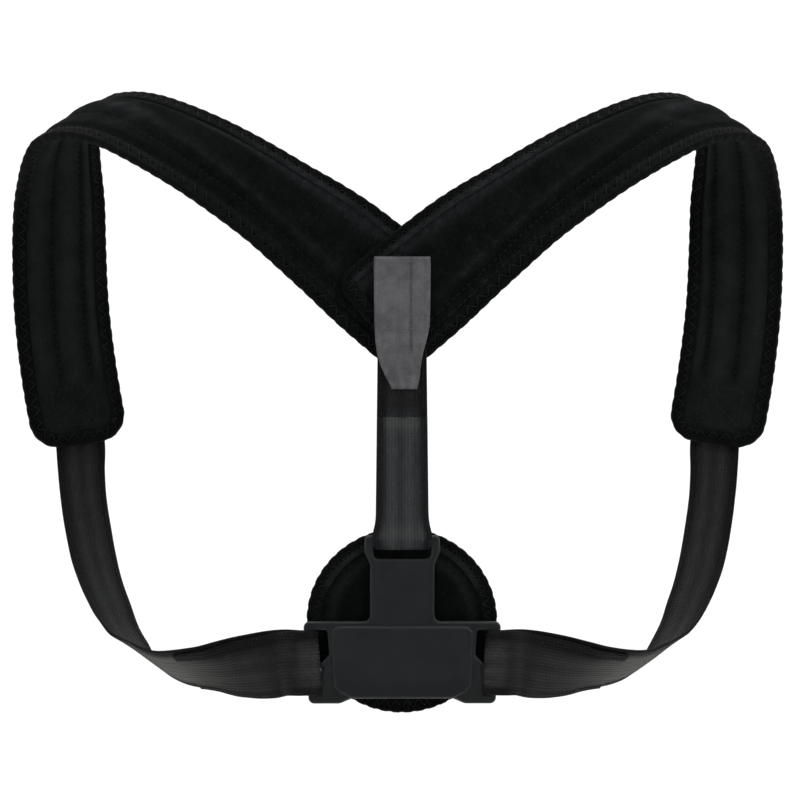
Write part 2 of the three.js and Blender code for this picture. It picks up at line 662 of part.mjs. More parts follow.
function add(name, geometry, look) {
  const mesh = new THREE.Mesh(geometry, new THREE.MeshStandardMaterial(look));
  mesh.name = name;
  corrector.add(mesh);
}

for (const [word, side] of Object.entries(SIDES)) {
  add(`${word}_shoulder_pad`, shoulderPad(side), PAD_CLOTH);
  add(`${word}_pad_binding`, padBinding(side), BINDING_TAPE);
  add(`${word}_side_strap`, sideStrap(side), BLACK_WEBBING);
}
add("centre_strap", centreStrap(), GREY_WEBBING);
add("centre_tab", centreTab(), TAB_CLOTH);
add("back_buckle", buckle(), PLASTIC);
add("back_pad", backPad(), PAD_CLOTH);
add("back_pad_binding", backPadBinding(), BINDING_TAPE);

export default corrector;
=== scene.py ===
"""Looks for a posture corrector, in metres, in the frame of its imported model: +X to the wearer's right,
+Y forwards and +Z up, with the origin midway between the shoulders."""

import math

import bmesh
import bpy
import numpy as np
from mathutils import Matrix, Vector, noise


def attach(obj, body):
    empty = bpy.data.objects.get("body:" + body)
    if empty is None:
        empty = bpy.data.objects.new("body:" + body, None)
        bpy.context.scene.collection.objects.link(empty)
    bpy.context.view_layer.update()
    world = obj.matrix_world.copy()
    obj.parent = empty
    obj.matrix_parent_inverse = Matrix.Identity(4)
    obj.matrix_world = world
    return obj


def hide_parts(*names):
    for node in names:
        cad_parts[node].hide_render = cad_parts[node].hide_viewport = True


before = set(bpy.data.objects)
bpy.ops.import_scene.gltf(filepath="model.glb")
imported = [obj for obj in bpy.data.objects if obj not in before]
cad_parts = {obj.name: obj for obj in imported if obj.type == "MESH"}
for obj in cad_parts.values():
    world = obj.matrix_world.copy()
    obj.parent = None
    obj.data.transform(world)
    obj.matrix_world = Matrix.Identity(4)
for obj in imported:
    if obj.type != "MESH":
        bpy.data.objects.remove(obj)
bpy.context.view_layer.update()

MM = 0.001
BODY = "root"

# Driving dimensions, in millimetres, as in the model's own source
HALF_SPAN = 185.0
BODY_DEPTH = 133.0
BACK_LENGTH = 277.0
PAD_WIDTH = 50.0
YOKE_FLARE = 3.5
PAD_CORNER_RADIUS = 14.0
YOKE_CORNER_RADIUS = 9.0
PAD_THICKNESS = 7.0
LIP_THICKNESS = 2.4
TAPE_REACH = 6.5
TAPE_THICKNESS = 0.8
SIDE_WEBBING_WIDTH = 32.0
CENTRE_WEBBING_WIDTH = 28.0
WEBBING_THICKNESS = 1.6
SEWN_LENGTH = 34.0
SIDE_TAIL_LENGTH = 80.0
CENTRE_TAIL_LENGTH = 62.0
TAB_LENGTH = 66.0
TAB_THICKNESS = 1.4
TAB_DROP = 75.0
BUCKLE_THICKNESS = 4.0
BUCKLE_BEVEL = 1.2
BUCKLE_BODY_RISE = 1.8
BUCKLE_BODY_WIDTH = 72.0
BUCKLE_STEM_LENGTH = 31.0
BUCKLE_ARM_WIDTH = 4.0
BAR_WIDTH = 4.5
SLOT_DAYLIGHT = 4.5
BACK_PAD_WIDTH = 93.0
BACK_PAD_HEIGHT = 90.0
BACK_PAD_THICKNESS = 9.0
BACK_PAD_CENTRE_RISE = 20.5
SEAM_GAP = 0.3
SLOT_CLEARANCE = 0.6
SHOULDER_FORWARD = 0.51


def table(columns, rows):
    """Names the columns of a table's rows."""
    return [dict(zip(columns, row)) for row in rows]


# Places are shares of HALF_SPAN, BODY_DEPTH and BACK_LENGTH. An edge vector points from a band's neck edge
# to its armhole edge.
BAND_COLUMNS = ("out", "forward", "up", "edge_out", "edge_forward", "edge_up")
PAD_ROWS = table(BAND_COLUMNS, [
    (-0.076, 0.0, -0.395, 0.65, 0.0, -0.76),
    (-0.003, 0.0, -0.353, 0.65, 0.0, -0.76),
    (0.07, 0.0, -0.312, 0.65, 0.0, -0.76),
    (0.175, 0.0, -0.252, 0.65, -0.03, -0.76),
    (0.331, 0.045, -0.173, 0.61, -0.34, -0.71),
    (0.518, 0.143, -0.09, 0.53, -0.53, -0.66),
    (0.674, 0.256, -0.033, 0.48, -0.64, -0.59),
    (0.759, 0.338, -0.008, 0.47, -0.7, -0.53),
    (0.834, 0.429, 0.004, 0.48, -0.73, -0.48),
    (0.899, 0.526, 0.004, 0.52, -0.73, -0.44),
    (0.946, 0.639, -0.01, 0.62, -0.67, -0.41),
    (0.974, 0.744, -0.046, 0.7, -0.59, -0.4),
    (0.985, 0.842, -0.094, 0.8, -0.48, -0.36),
    (0.989, 0.917, -0.158, 0.89, -0.37, -0.24),
    (0.992, 0.962, -0.235, 0.93, -0.33, -0.14),
    (0.987, 0.992, -0.352, 0.96, -0.28, -0.09),
    (0.965, 0.996, -0.479, 0.97, -0.22, -0.14),
    (0.927, 0.955, -0.611, 0.95, -0.28, -0.12),
])
SIDE_STRAP_ROWS = table(BAND_COLUMNS, [
    (0.927, 0.947, -0.662, 0.9, -0.42, 0.0),
    (0.917, 0.91, -0.724, 0.88, -0.48, 0.04),
    (0.9, 0.857, -0.781, 0.88, -0.47, 0.04),
    (0.878, 0.789, -0.838, 0.86, -0.5, 0.04),
    (0.858, 0.737, -0.875, 0.82, -0.56, 0.05),
    (0.833, 0.684, -0.911, 0.78, -0.61, 0.08),
    (0.805, 0.624, -0.948, 0.71, -0.69, 0.14),
    (0.766, 0.549, -0.983, 0.6, -0.76, 0.24),
    (0.711, 0.451, -1.01, 0.4, -0.79, 0.46),
    (0.636, 0.346, -1.026, 0.46, -0.67, 0.58),
    (0.527, 0.233, -1.022, 0.44, -0.54, 0.72),
    (0.414, 0.12, -1.011, 0.28, -0.22, 0.93),
    (0.316, 0.0, -1.0, 0.08, 0.0, 1.0),
])

# Sizes that follow
HALF_LIP = LIP_THICKNESS / 2
TAPE_INSIDE = HALF_LIP + SEAM_GAP
TAPE_OUTSIDE = TAPE_INSIDE + TAPE_THICKNESS
CROWN_HEIGHT = (PAD_THICKNESS - LIP_THICKNESS) / 2
HIGHEST_CROWN = 1.15
YOKE_CROWN = 0.45
SEWN_CROWN = 0.38
YOKE_HALF_THICKNESS = max(HALF_LIP + YOKE_CROWN * HIGHEST_CROWN * CROWN_HEIGHT, TAPE_OUTSIDE)
SEWN_HALF_THICKNESS = max(HALF_LIP + SEWN_CROWN * HIGHEST_CROWN * CROWN_HEIGHT, TAPE_OUTSIDE)
LAP = YOKE_HALF_THICKNESS + SEAM_GAP / 2
LAYER = WEBBING_THICKNESS + SEAM_GAP
YOKE_PLANE = -SHOULDER_FORWARD * BODY_DEPTH
WEBBING_PLANE = YOKE_PLANE - LAP - YOKE_HALF_THICKNESS - SEAM_GAP - WEBBING_THICKNESS / 2
TURN_RADIUS = BUCKLE_THICKNESS / 2 + SEAM_GAP + WEBBING_THICKNESS / 2
BUCKLE_PLANE = WEBBING_PLANE - TURN_RADIUS
BUCKLE_SEAT = WEBBING_THICKNESS + SEAM_GAP
SLOT_WIDTH = TURN_RADIUS + WEBBING_THICKNESS / 2 - BUCKLE_BEVEL + SLOT_DAYLIGHT
SIDE_SLOT_LENGTH = SIDE_WEBBING_WIDTH + 2 * SLOT_CLEARANCE
BUCKLE_FRAME_HEIGHT = SIDE_SLOT_LENGTH + 2 * BUCKLE_ARM_WIDTH
SIDE_BAR_INNER_EDGE = BUCKLE_BODY_WIDTH / 2 + SLOT_WIDTH
TOP_BAR_LOWER_EDGE = BUCKLE_FRAME_HEIGHT / 2 + BUCKLE_STEM_LENGTH + SLOT_WIDTH
BACK_PAD_PLANE = WEBBING_PLANE + WEBBING_THICKNESS / 2 + SEAM_GAP + BACK_PAD_THICKNESS / 2

SIDES = {"left": -1, "right": 1}


# Curves and bands


def smooth_step(x, start, end):
    s = np.clip((np.asarray(x, float) - start) / (end - start), 0, 1)
    return s * s * (3 - 2 * s)


def mix(a, b, share):
    return a + (b - a) * share


def unit(v):
    return v / np.maximum(np.linalg.norm(v, axis=-1, keepdims=True), 1e-12)


def square_to(along, edge):
    """The directions at right angles to a path that are nearest to its edge directions."""
    return unit(edge - along * np.sum(edge * along, axis=1, keepdims=True))


def bell(x, middle, width):
    return np.exp(-(((x - middle) / width) ** 2))


def distances(path):
    """How far along a path each of its points lies."""
    return np.concatenate([[0], np.cumsum(np.linalg.norm(np.diff(path, axis=0), axis=1))])


def read_off(at, run, values):
    """Points or directions at distances along a path, from those at its own distances."""
    return np.stack([np.interp(at, run, values[:, k]) for k in range(3)], -1)


def smooth_curve(points, t):
    """A centripetal Catmull-Rom curve through points, at parameters from 0 to 1."""
    p = np.asarray(points, float)
    p = np.vstack([2 * p[0] - p[1], p, 2 * p[-1] - p[-2]])
    place = np.clip(np.asarray(t, float), 0, 1) * (len(p) - 3)
    i = np.minimum(place.astype(int), len(p) - 4)
    w = (place - i)[:, None]
    p0, p1, p2, p3 = p[i], p[i + 1], p[i + 2], p[i + 3]
    d0, d1, d2 = (
        np.sqrt(np.maximum(np.linalg.norm(b - a, axis=1), 1e-8))[:, None]
        for a, b in ((p0, p1), (p1, p2), (p2, p3))
    )
    t1 = ((p1 - p0) / d0 - (p2 - p0) / (d0 + d1) + (p2 - p1) / d1) * d1
    t2 = ((p2 - p1) / d1 - (p3 - p1) / (d1 + d2) + (p3 - p2) / d2) * d1
    return p1 + t1 * w + (3 * (p2 - p1) - 2 * t1 - t2) * w**2 + (2 * (p1 - p2) + t1 + t2) * w**3


class Band:
    """A path with a frame at each distance: its centre, the directions along it, across it towards the
    armhole, and out of its outer side."""

    FINENESS = 4000
    DELTA = 1e-4

    def __init__(self, centres, edges, side):
        self.centres = centres
        self.edges = edges
        self.side = side
        self.t = np.linspace(0, 1, self.FINENESS)
        self.reached = distances(smooth_curve(centres, self.t))
        self.length = self.reached[-1]

    def frames(self, at):
        t = np.interp(at, self.reached, self.t)
        centre = smooth_curve(self.centres, t)
        after = smooth_curve(self.centres, np.minimum(t + self.DELTA, 1))
        before = smooth_curve(self.centres, np.maximum(t - self.DELTA, 0))
        along = unit(after - before)
        edge = smooth_curve(self.edges, t)
        across = square_to(along, edge)
        outward = unit(np.cross(along, across) * -self.side)
        return centre, along, across, outward


def row_places(rows, side):
    shares = [(side * r["out"], r["forward"] - SHOULDER_FORWARD, r["up"]) for r in rows]
    return np.array(shares) * (HALF_SPAN, BODY_DEPTH, BACK_LENGTH)


def row_edges(rows, side):
    return np.array([(side * r["edge_out"], r["edge_forward"], r["edge_up"]) for r in rows])


def surfaces(centre, across, outward, x, *heights):
    """Grids of points at places x across a band, one for each grid of heights out of it."""
    middle = centre[:, None] + across[:, None] * x[..., None]
    return [middle + outward[:, None] * height[..., None] for height in heights]


def ripple(u, v, seed, scale):
    """Smooth noise from -1 to 1 at places u along and v across, with lumps about scale wide."""
    return np.array(
        [noise.noise((a / scale, b / scale, seed)) for a, b in zip(np.ravel(u), np.ravel(v))]
    ).reshape(np.shape(u))


# Meshes


def add_object(name, data):
    made = bpy.data.objects.new(name, data)
    bpy.context.scene.collection.objects.link(made)
    return made


def make_mesh(name, points, faces, uvs=None, marks=None):
    """A mesh object from points in millimetres. uvs are places in millimetres for each point, and marks are
    named shares for each point, both read by the materials."""
    mesh = bpy.data.meshes.new(name)
    mesh.from_pydata((np.asarray(points) * MM).tolist(), [], [list(map(int, f)) for f in faces])
    mesh.update()
    if uvs is not None:
        layer = mesh.uv_layers.new(name="UVMap")
        corner = np.zeros(len(mesh.loops), int)
        mesh.loops.foreach_get("vertex_index", corner)
        layer.data.foreach_set("uv", (np.asarray(uvs, float)[corner] * MM).astype(np.float32).ravel())
    for mark, values in (marks or {}).items():
        attribute = mesh.attributes.new(mark, "FLOAT", "POINT")
        attribute.data.foreach_set("value", np.asarray(values, np.float32).ravel())
    mesh.polygons.foreach_set("use_smooth", np.ones(len(mesh.polygons), bool))
    return add_object(name, mesh)


def ring_faces(rings, size, looped=False, capped=True):
    """Faces between rings of points. An open end is closed by a strip between a ring's two sides."""
    here = np.arange(rings if looped else rings - 1)[:, None] * size
    after = (np.arange(rings if looped else rings - 1)[:, None] + 1) % rings * size
    j = np.arange(size)[None, :]
    k = (j + 1) % size
    faces = np.stack([here + j, here + k, after + k, after + j], axis=-1).reshape(-1, 4).tolist()
    if not looped and capped:
        end = (rings - 1) * size
        for j in range(size // 2 - 1):
            faces.append([j, size - 1 - j, size - 2 - j, j + 1])
            faces.append([end + j, end + j + 1, end + size - 2 - j, end + size - 1 - j])
    return faces


def face_out(piece):
    """Turns the faces of a closed mesh outwards."""
    work = bmesh.new()
    work.from_mesh(piece.data)
    bmesh.ops.recalc_face_normals(work, faces=work.faces)
    work.to_mesh(piece.data)
    work.free()
    return piece


def two_sides(outer, inner):
    """Values over a piece's outer side and on round over its inner side."""
    return np.concatenate([outer, inner[:, ::-1]], axis=1)


def make_sheet(name, outer, inner, uv, marks):
    """A closed piece from the points of its outer and inner sides. Each mark has values for both."""
    rings = two_sides(outer, inner)
    faces = ring_faces(len(rings), rings.shape[1])
    marks = {mark: two_sides(*values) for mark, values in marks.items()}
    return face_out(make_mesh(name, rings.reshape(-1, 3), faces, two_sides(uv, uv).reshape(-1, 2), marks))


def show(piece, slot, *nodes, material=None):
    """Puts a piece on the body, with its slot's material or another, in place of CAD nodes."""
    piece.data.materials.clear()
    piece.data.materials.append(materials[material or slot])
    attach(piece, BODY)
    if nodes:
        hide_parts(*nodes)


# Material nodes


class Shader:
    """A material's node tree, with short words for the nodes that the materials here share."""

    def __init__(self, name, colour, roughness, specular=0.2, sheen=0.0):
        self.material = bpy.data.materials.new(name)
        self.material.use_nodes = True
        self.material.diffuse_color = colour + (1,)
        self.tree = self.material.node_tree
        self.principled = self.tree.nodes["Principled BSDF"]
        settings = {
            "Base Color": colour + (1,),
            "Roughness": roughness,
            "Specular IOR Level": specular,
            "Sheen Weight": sheen,
            "Sheen Roughness": 0.5,
            "Sheen Tint": (1, 1, 1, 1),
        }
        for key, value in settings.items():
            self.principled.inputs[key].default_value = value

    def feed(self, socket, value):
        """Gives a socket a colour, a number or another node's output."""
        if isinstance(value, tuple):
            socket.default_value = value + (1,)
        elif isinstance(value, (int, float)):
            socket.default_value = value
        else:
            self.tree.links.new(value, socket)

    def node(self, kind, inputs=(), **settings):
        """A node with its settings, and what its inputs get, by their names or places."""
        made = self.tree.nodes.new(kind)
        for key, value in settings.items():
            setattr(made, key, value)
        for key, value in dict(inputs).items():
            self.feed(made.inputs[key], value)
        return made

    def math(self, operation, *values):
        return self.node("ShaderNodeMath", enumerate(values), operation=operation).outputs[0]

    def plus(self, a, b):
        return self.math("ADD", a, b)

    def times(self, a, b, *added):
        return self.math("MULTIPLY_ADD" if added else "MULTIPLY", a, b, *added)

    def split(self, vector):
        return self.node("ShaderNodeSeparateXYZ", {0: vector}).outputs

    def place(self):
        """The sockets of the place along and across the piece, in metres."""
        parts = self.split(self.node("ShaderNodeUVMap", uv_map="UVMap").outputs[0])
        return parts[0], parts[1]

    def position(self):
        return self.node("ShaderNodeTexCoord").outputs["Object"]

    def mark(self, name):
        return self.node("ShaderNodeAttribute", attribute_name=name).outputs["Fac"]

    def noise(self, vector, scale, detail=2.0, roughness=0.5):
        inputs = {"Vector": vector, "Scale": scale, "Detail": detail, "Roughness": roughness}
        return self.node("ShaderNodeTexNoise", inputs).outputs["Fac"]

    def spread(self, value, low, high, to_low=0.0, to_high=1.0):
        inputs = enumerate((value, low, high, to_low, to_high))
        return self.node("ShaderNodeMapRange", inputs, clamp=True).outputs[0]

    def blend(self, share, a, b):
        return self.node("ShaderNodeMix", {0: share, 6: a, 7: b}, data_type="RGBA").outputs[2]

    def wave(self, value, period, phase=0.0):
        """A sine from 0 to 1 with a period in metres."""
        turned = self.times(value, 2 * math.pi / period, phase)
        return self.times(self.math("SINE", turned), 0.5, 0.5)

    def bump(self, height, distance, strength):
        inputs = {"Strength": strength, "Distance": distance, "Height": height}
        return self.node("ShaderNodeBump", inputs).outputs[0]

    def finish(self, colour=None, normal=None, roughness=None):
        for socket, name in ((colour, "Base Color"), (normal, "Normal"), (roughness, "Roughness")):
            if socket is not None:
                self.feed(self.principled.inputs[name], socket)
        return self.material


def pad_cloth():
    """Black loop cloth: a fine knitted pile, faintly mottled, lighter by a painted sheen where light catches
    it and darker by painted shade in its seams.
    """
    s = Shader("pad_cloth", (0.0055, 0.0066, 0.0064), 0.95, specular=0.03, sheen=0.012)
    along, across = s.place()
    place = s.position()
    pile = s.noise(place, 1500, 3, 0.6)
    mottle = s.noise(place, 85, 4, 0.6)
    rows = s.wave(s.plus(along, s.times(across, 0.35)), 0.0012)
    clouds = s.spread(mottle, 0.36, 0.64)
    colour = s.blend(clouds, (0.0014, 0.0022, 0.002), (0.0031, 0.004, 0.0037))
    lining = s.blend(clouds, (0.0066, 0.0082, 0.008), (0.0108, 0.0126, 0.0123))
    colour = s.blend(s.mark("lining"), colour, lining)
    flecks = s.spread(s.noise(place, 520, 2, 0.7), 0.52, 0.7)
    colour = s.blend(s.times(flecks, 0.35), colour, (0.012, 0.0138, 0.0138))
    # Painted sheen: the sheen mark lightens the pad where light catches its ridge, folds, crest, rim and
    # lining lanes
    painted_highlight = s.times(s.mark("sheen"), s.times(flecks, 0.4, 0.6))
    colour = s.blend(painted_highlight, colour, (0.0235, 0.0255, 0.028))
    # Painted shade in the seam grooves and the lining's channels
    colour = s.blend(s.mark("seam"), colour, (0.0012, 0.0018, 0.0018))
    height = s.plus(pile, s.times(rows, 0.35))
    return s.finish(colour, s.bump(height, 0.0008, 0.75))


def binding_tape():
    """Black knitted tape, lighter along its inner half by a painted highlight, with painted shade in the pits
    at the stitches.
    """
    s = Shader("binding_tape", (0.0055, 0.0064, 0.0066), 0.85, specular=0.06, sheen=0.012)
    along, _ = s.place()
    ribs = s.wave(along, 0.0009)
    fuzz = s.noise(s.position(), 1400, 2)
    mottle = s.spread(s.noise(s.position(), 140, 3), 0.35, 0.65)
    # Painted highlight: the tape's inner half is lighter, mostly where its edge faces up behind the shoulders
    inner = s.times(s.mark("inner"), s.times(mottle, 0.5, 0.5))
    colour = s.blend(inner, (0.0022, 0.0027, 0.0027), (0.0165, 0.0185, 0.0195))
    # Painted shade in the pits where the stitches pull the tape in
    colour = s.blend(s.mark("pit"), colour, (0.0001, 0.0001, 0.0001))
    height = s.plus(ribs, fuzz)
    return s.finish(colour, s.bump(height, 0.0004, 0.5))


def thread(name, colour):
    """Twisted sewing thread."""
    s = Shader(name, colour, 0.6, specular=0.12)
    along, around = s.place()
    turned = s.times(around, 0.00016, along)
    return s.finish(normal=s.bump(s.wave(turned, 0.0007), 0.0003, 0.6))


def scaled(colour, share):
    return tuple(share * c for c in colour)


def webbing(name, lane, edge, pale, selvedge, lane_period, lane_phase, roughness):
    """Polyester webbing: broad lighter lanes and fine ribs along it, a weft across, and dark selvedges."""
    s = Shader(name, lane, roughness, specular=0.1, sheen=0.012)
    along, across = s.place()
    ribs = s.wave(across, 0.0016)
    weft = s.wave(along, 0.0013)
    twill = s.wave(s.plus(along, s.times(across, 0.6)), 0.0024)
    streak = s.node("ShaderNodeCombineXYZ", {0: s.times(along, 0.1), 1: across})
    streaks = s.spread(s.noise(streak.outputs[0], 1000, 3, 0.6), 0.3, 0.7)
    broad = s.wave(across, lane_period, lane_phase)
    mottle = s.spread(s.noise(s.position(), 110, 3, 0.6), 0.3, 0.7)
    light = s.times(broad, 0.5, s.times(streaks, 0.3))
    light = s.times(mottle, 0.2, light)
    colour = s.blend(light, scaled(lane, 0.55), scaled(lane, 1.5))
    # Painted sheen where the lit mark is, strongest on the ribs' crowns
    painted_sheen = s.times(s.mark("lit"), s.times(ribs, 0.45, 0.5))
    colour = s.blend(painted_sheen, colour, pale)
    dark = s.spread(s.mark("from_edge"), selvedge * 0.7, selvedge * 1.3, 1.0, 0.0)
    colour = s.blend(dark, colour, edge)
    # Painted shade where the strap lies in shadow: near the buckle, under the fold-over and below the centre
    # tab
    colour = s.blend(s.mark("dim"), colour, scaled(edge, 0.25))
    grooved = s.spread(ribs, 0.0, 0.35, 0.25, 0.0)
    colour = s.blend(grooved, colour, scaled(edge, 0.4))
    height = s.times(weft, 0.5, ribs)
    height = s.times(twill, 0.35, height)
    return s.finish(colour, s.bump(height, 0.0006, 0.7))


def tab_cloth():
    """Mid grey plain-woven cloth."""
    s = Shader("tab_cloth", (0.094, 0.094, 0.099), 0.8, specular=0.12, sheen=0.03)
    along, across = s.place()
    weave = s.times(s.wave(along, 0.0011), s.wave(across, 0.0011))
    mottle = s.noise(s.position(), 190, 4, 0.65)
    colour = s.blend(s.spread(mottle, 0.32, 0.68), (0.085, 0.085, 0.09), (0.138, 0.138, 0.145))
    colour = s.blend(s.mark("shade"), colour, (0.04, 0.04, 0.044))
    colour = s.blend(s.spread(weave, 0.0, 0.4, 0.18, 0.0), colour, (0.03, 0.03, 0.033))
    return s.finish(colour, s.bump(weave, 0.0006, 0.6))


# The heights, in metres, between which painted shade darkens the buckle towards its lower edge
BUCKLE_SHADE_HEIGHTS = (-0.2905, -0.284)


def buckle_plastic():
    """Black moulded plastic with a fine spark-eroded grain, painted highlights on its rounded edges and
    painted shade towards its lower edge.
    """
    s = Shader("buckle_plastic", (0.0115, 0.0138, 0.015), 0.4, specular=0.2)
    place = s.position()
    grain = s.noise(place, 2400, 2, 0.6)
    cloud = s.noise(place, 90, 4, 0.6)
    rough = s.spread(cloud, 0.3, 0.7, 0.4, 0.58)
    colour = s.blend(s.spread(cloud, 0.35, 0.65), (0.0036, 0.005, 0.0056), (0.007, 0.009, 0.0098))
    # Painted shade towards the buckle's lower edge
    low = s.spread(s.split(place)[2], *BUCKLE_SHADE_HEIGHTS, 0.55, 0.0)
    colour = s.blend(low, colour, (0.002, 0.0026, 0.0028))
    # Painted highlight on the rounded edges
    colour = s.blend(s.times(s.mark("painted_highlight"), 0.8), colour, (0.03, 0.033, 0.035))
    return s.finish(colour, s.bump(grain, 0.00015, 0.5), rough)


# The shoulder pads

LAP_ENDS = (0.24, 0.5)
FLARE_ENDS = (20.0, 110.0)
CROWN_RISE = 8.0
YOKE_SPREAD = (88.0, 130.0)
SEWN_SPREAD = (3.0, 22.0)


def pad_band(side):
    places = row_places(PAD_ROWS, side)
    lapped = 1 - smooth_step([r["out"] for r in PAD_ROWS], *LAP_ENDS)
    places[:, 1] -= side * LAP * lapped
    return Band(places, row_edges(PAD_ROWS, side), side)


def half_width_near(distance, radius):
    into = np.clip(radius - distance, 0, radius)
    return PAD_WIDTH / 2 - radius + np.sqrt(radius**2 - into**2)


def pad_half_width(at, length):
    flare = YOKE_FLARE * (1 - smooth_step(at, *FLARE_ENDS))
    near_yoke = half_width_near(at, YOKE_CORNER_RADIUS)
    near_end = half_width_near(length - at, PAD_CORNER_RADIUS)
    return flare + np.minimum(near_yoke, near_end)


def crown_share(at, length):
    """The crown left at a distance along a pad, as a share of CROWN_HEIGHT."""
    from_end = np.minimum(at, length - at)
    lip = TAPE_REACH - 1
    rise = smooth_step(from_end, lip, lip + CROWN_RISE)
    yoke = mix(YOKE_CROWN, 1, smooth_step(at, *YOKE_SPREAD))
    past_strap = length - at - SEWN_LENGTH
    sewn = mix(SEWN_CROWN, 1, smooth_step(past_strap, *SEWN_SPREAD))
    return rise * np.minimum(yoke, sewn)


PAD_STEP = 1.1
PAD_COLUMNS = 64
CORNER_POINTS = 14
PILLOW_START = TAPE_REACH - 1.2
LEAST_HEIGHT = 0.9
# Seams on a pad, as shares of its width from the neck edge. The ridge and the fold below it bear away from
# that edge towards the yoke, so they are given at places that are shares of the length.
SEAM_PLACES = (0.0, 0.15, 0.2, 0.25, 0.31, 0.37, 0.43, 0.5, 0.6)
RIDGE = (0.68, 0.66, 0.645, 0.61, 0.575, 0.525, 0.44, 0.39, 0.37)
FOLD = (0.79, 0.77, 0.75, 0.735, 0.725, 0.69, 0.63, 0.58, 0.56)
UPPER_SEAM = 0.2
LOWER_SEAM = 0.86
# Shares of the length: the middle and width of the shoulder's crest, and where the painted sheen near the
# yoke and the painted highlight on the rim beside the binding fade
CREST = (0.46, 0.05)
NEAR_YOKE = (0.15, 0.3)
RIM_END = (0.34, 0.42)
# Where the outer seams and ridge rise and fade, from the pad's start and from its end
SEAMS_START = (15, 50)
SEAMS_END = (120, 70)
INNER_CHANNELS = (0.27, 0.6)
INNER_LANES = ((0.77, 0.08), (0.43, 0.08), (0.18, 0.03))
STITCH_PERIOD = 7.2
# Where the folds over the shoulder lie: share of the length, share of the width, lean, width and height
CREST_FOLDS = (
    (0.44, 0.62, 0.55, 0.05, 0.9),
    (0.47, 0.42, 0.7, 0.045, 0.7),
    (0.51, 0.3, 0.75, 0.05, 0.6),
    (0.55, 0.62, -0.4, 0.05, 0.55),
    (0.59, 0.35, -0.3, 0.06, 0.5),
)


def pad_stations(length):
    turn = np.linspace(0, math.pi / 2, CORNER_POINTS)[1:]
    start = YOKE_CORNER_RADIUS * (1 - np.cos(turn))
    end = length - PAD_CORNER_RADIUS * (1 - np.cos(turn))
    count = int((length - YOKE_CORNER_RADIUS - PAD_CORNER_RADIUS) / PAD_STEP)
    middle = np.linspace(YOKE_CORNER_RADIUS, length - PAD_CORNER_RADIUS, count)
    return np.concatenate([[0.01], start[:-1], middle, end[:-1][::-1], [length - 0.01]])


def column_shares(count, evenness):
    """Shares of a width, closer together near its edges."""
    turn = np.linspace(-math.pi / 2, math.pi / 2, count)
    share = mix(np.sin(turn), np.linspace(-1, 1, count), evenness)
    return (share / share[-1] + 1) / 2


